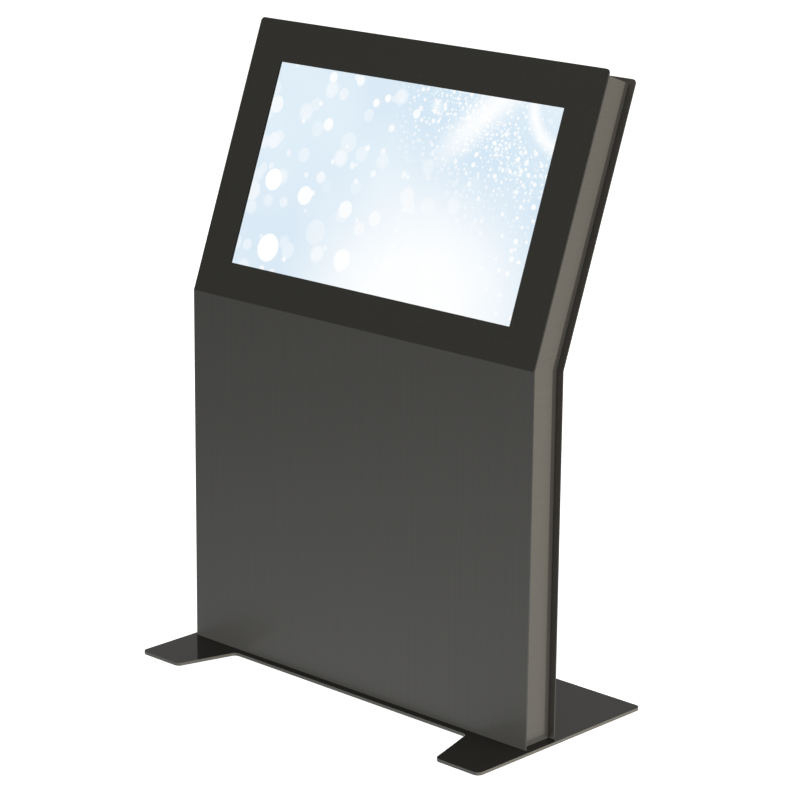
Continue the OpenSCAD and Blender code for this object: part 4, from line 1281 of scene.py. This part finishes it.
def player_port_tongues():
    mesh = bmesh.new()
    for left, right in SMALL_PORTS:
        block(mesh, (left + 1.8, right - 1.8), (24.4, 26.2), (PORT_FOOT, 449.4))
    block(mesh, (-108.4, -81.6), (21.5, 26.5), (PORT_FOOT, 449.0))
    for i in range(9):
        x = -106 + i * 2.7
        for depth in (23.0, 25.0):
            block(mesh, (x, x + 0.6), (depth - 0.3, depth + 0.3), (449.0, 449.8))
    new_piece("player_port_tongues", mesh, CHIP, place=at_low)


def light_material():
    """Glowing blue plastic with a fine speckle."""
    shade = Shader("status_light")
    spot = shade.noise(scale=900.0, detail=2.0, rough=0.5)
    shade.set(color=(0.20, 0.45, 0.60), rough=0.25, emit_strength=1.4,
              emit=shade.mix(spot, (0.25, 0.65, 1.0), (0.45, 0.80, 1.0)))
    return shade.mat


def player_lights():
    """Status light on the player's side and the lit ring on its button."""
    glow = light_material()
    mesh = bmesh.new()
    turned(mesh, (PLAYER_SIDE, PLAYER_DEPTH, 368), ACROSS,
           [(0, 0), (0, 1.5), (0.3, 1.4), (0.6, 0.9), (0.7, 0)], sides=20)
    new_piece("player_status_light", mesh, glow, smooth=True, place=at_low)
    mesh = bmesh.new()
    turned(mesh, (PLAYER_SIDE + 1.5, PLAYER_DEPTH, BUTTON_HEIGHT), ACROSS, [
        (-0.2, 2.9), (0.0, 3.4), (0.16, 3.5), (0.22, 3.8), (0.16, 4.1), (0.0, 4.2),
        (-0.2, 4.3), (-0.2, 2.9)], sides=40)
    new_piece("player_button_light_ring", mesh, glow, "player_power_button", smooth=True,
              place=at_low)


mains_lead()
power_leads()
signal_lead()
lead_plugs()
lead_clips()
fan_impeller(-1, "left")
fan_impeller(1, "right")
fan_wires("red", WIRE_RED, shift=-0.75)
fan_wires("black", SHEATH, shift=0.75)
circuit_board()
board_chips()
board_contacts()
heat_sink()
board_connectors()
board_capacitors()
can_tops_and_screws()
board_coils()
touch_flat_tail()
touch_controller_parts()
earth_springs()
socket_collars()
player_ports_and_screws()
player_port_tongues()
player_lights()

# ---- stage: floor, light, camera ---------------------------------------------------------
FLOOR_SIZE, FLOOR_Z = 40.0, -0.0004     # half width, and a hair under the plate
# what the floor gives off to camera rays, to reflections and to soft fill
FLOOR_SEEN, FLOOR_GLOSSY, FLOOR_FILL = 0.80, 1.45, 0.62
# surround: strength at the horizon and overhead, what is added behind, and as seen
WORLD_LOW, WORLD_TOP, WORLD_BACK, WORLD_SEEN = 0.10, 0.42, 0.10, 0.93


def floor_material():
    """White to the camera; its light in reflections and as fill is set apart, so that it
    reads as a white sweep in a dim studio."""
    shade = Shader("floor_pale")
    tone = shade.spread(shade.noise(scale=2.0, detail=3.0, rough=0.5),
                        middle=0.98, swing=0.01)
    x = shade.xyz()[0]
    # reflections fade towards both sides
    side = shade.times(
        shade.ramp(x, (-2.6, 0.6), to=(FLOOR_GLOSSY * 0.44, FLOOR_GLOSSY)),
        shade.ramp(x, (0.80, 1.9), to=(1.0, 0.40)))
    seen = shade.times(shade.ray("Camera"), FLOOR_SEEN)
    gloss = shade.times(shade.ray("Glossy"), side)
    fill = shade.times(shade.ray("Diffuse"), FLOOR_FILL)
    lit = shade.add("ShaderNodeBsdfDiffuse")
    shade.put(lit.inputs["Color"], shade.vector(tone, tone, tone))
    glow = shade.add("ShaderNodeEmission")
    shade.put(glow.inputs["Strength"], shade.plus(seen, shade.plus(gloss, fill)))
    # only what the camera sees straight on takes the lamps' light
    dark = shade.add("ShaderNodeBsdfDiffuse")
    shade.put(dark.inputs["Color"], (0.05, 0.05, 0.05))
    both = shade.add("ShaderNodeAddShader")
    shade.put(both.inputs[0], shade.mix_shaders(shade.ray("Camera"), dark.outputs[0],
                                                lit.outputs[0]))
    shade.put(both.inputs[1], glow.outputs[0])
    shade.put(shade.surface, both.outputs[0])
    return shade.mat


def stage_floor():
    data = bpy.data.meshes.new("floor")
    corners = ((-1, -1), (1, -1), (1, 1), (-1, 1))
    data.from_pydata([(x * FLOOR_SIZE, y * FLOOR_SIZE, FLOOR_Z) for x, y in corners],
                     [], [(0, 1, 2, 3)])
    obj = bpy.data.objects.new("floor", data)
    bpy.context.scene.collection.objects.link(obj)
    data.materials.append(floor_material())


def studio():
    """Dim pale surround: brighter overhead and behind, plain pale where the camera sees it."""
    world = bpy.data.worlds.new("studio")
    bpy.context.scene.world = world
    world.use_nodes = True
    sky = Nodes(world.node_tree, spare=None)
    background = sky.tree.nodes["Background"]
    _, y, z = sky.xyz(sky.add("ShaderNodeTexCoord").outputs["Generated"])
    rise = sky.ramp(z, (0.0, 0.9), to=(WORLD_LOW, WORLD_TOP))
    back = sky.ramp(y, (-0.2, 0.5), to=(0.0, WORLD_BACK))
    seen = sky.ray("Camera")
    unseen_part = sky.times(sky.minus(1.0, seen), sky.plus(rise, back))
    sky.put(background.inputs["Color"], (1.0, 0.985, 0.955))
    sky.put(background.inputs["Strength"],
            sky.plus(sky.times(seen, WORLD_SEEN), unseen_part))


def softbox(name, at, look, size, power, color, glossy=True):
    data = bpy.data.lights.new(name, "AREA")
    data.shape = "RECTANGLE"
    data.size, data.size_y = size
    data.energy = power
    data.color = color
    obj = bpy.data.objects.new(name, data)
    obj.location = at
    obj.visible_glossy = glossy
    aim = Vector(look) - Vector(at)
    obj.rotation_euler = aim.to_track_quat("-Z", "Y").to_euler()
    bpy.context.scene.collection.objects.link(obj)


def camera():
    """Long lens from the front right, looking down at the cabinet."""
    data = bpy.data.cameras.new("camera")
    data.sensor_width = 36.0
    data.lens = 134.1549
    data.clip_start = 0.1
    data.clip_end = 200.0
    obj = bpy.data.objects.new("camera", data)
    bpy.context.scene.collection.objects.link(obj)
    turn, pitch, roll = (math.radians(angle) for angle in (43.2421, 15.5056, 0.5349))
    place = Vector((3.662737, FACE_Y - 3.773141, 2.031043))
    forward = Vector((-math.sin(turn) * math.cos(pitch), math.cos(turn) * math.cos(pitch),
                      -math.sin(pitch)))
    level = Vector((math.cos(turn), math.sin(turn), 0.0))
    upright = level.cross(forward)
    right = level * math.cos(roll) + upright * math.sin(roll)
    top = upright * math.cos(roll) - level * math.sin(roll)
    rows = [(right[i], top[i], -forward[i], place[i]) for i in range(3)]
    obj.matrix_world = Matrix((*rows, (0, 0, 0, 1)))
    bpy.context.scene.camera = obj


stage_floor()
studio()
softbox("side_right", at=(4.5, -0.2, 0.9), look=(0, 0, 0.6), size=(2.6, 1.8), power=60,
        color=(1.0, 0.97, 0.90), glossy=False)
softbox("side_left", at=(-4.5, 0.6, 0.9), look=(0, 0, 0.6), size=(2.6, 1.8), power=45,
        color=(0.97, 0.98, 1.0), glossy=False)
softbox("top", at=(0.4, -0.2, 4.2), look=(0, 0, 0), size=(3.5, 3.5), power=40,
        color=(1.0, 0.99, 0.97))
camera()

view = bpy.context.scene.view_settings
view.view_transform = "Standard"
view.look = "None"
view.exposure = 0.0
view.gamma = 1.0
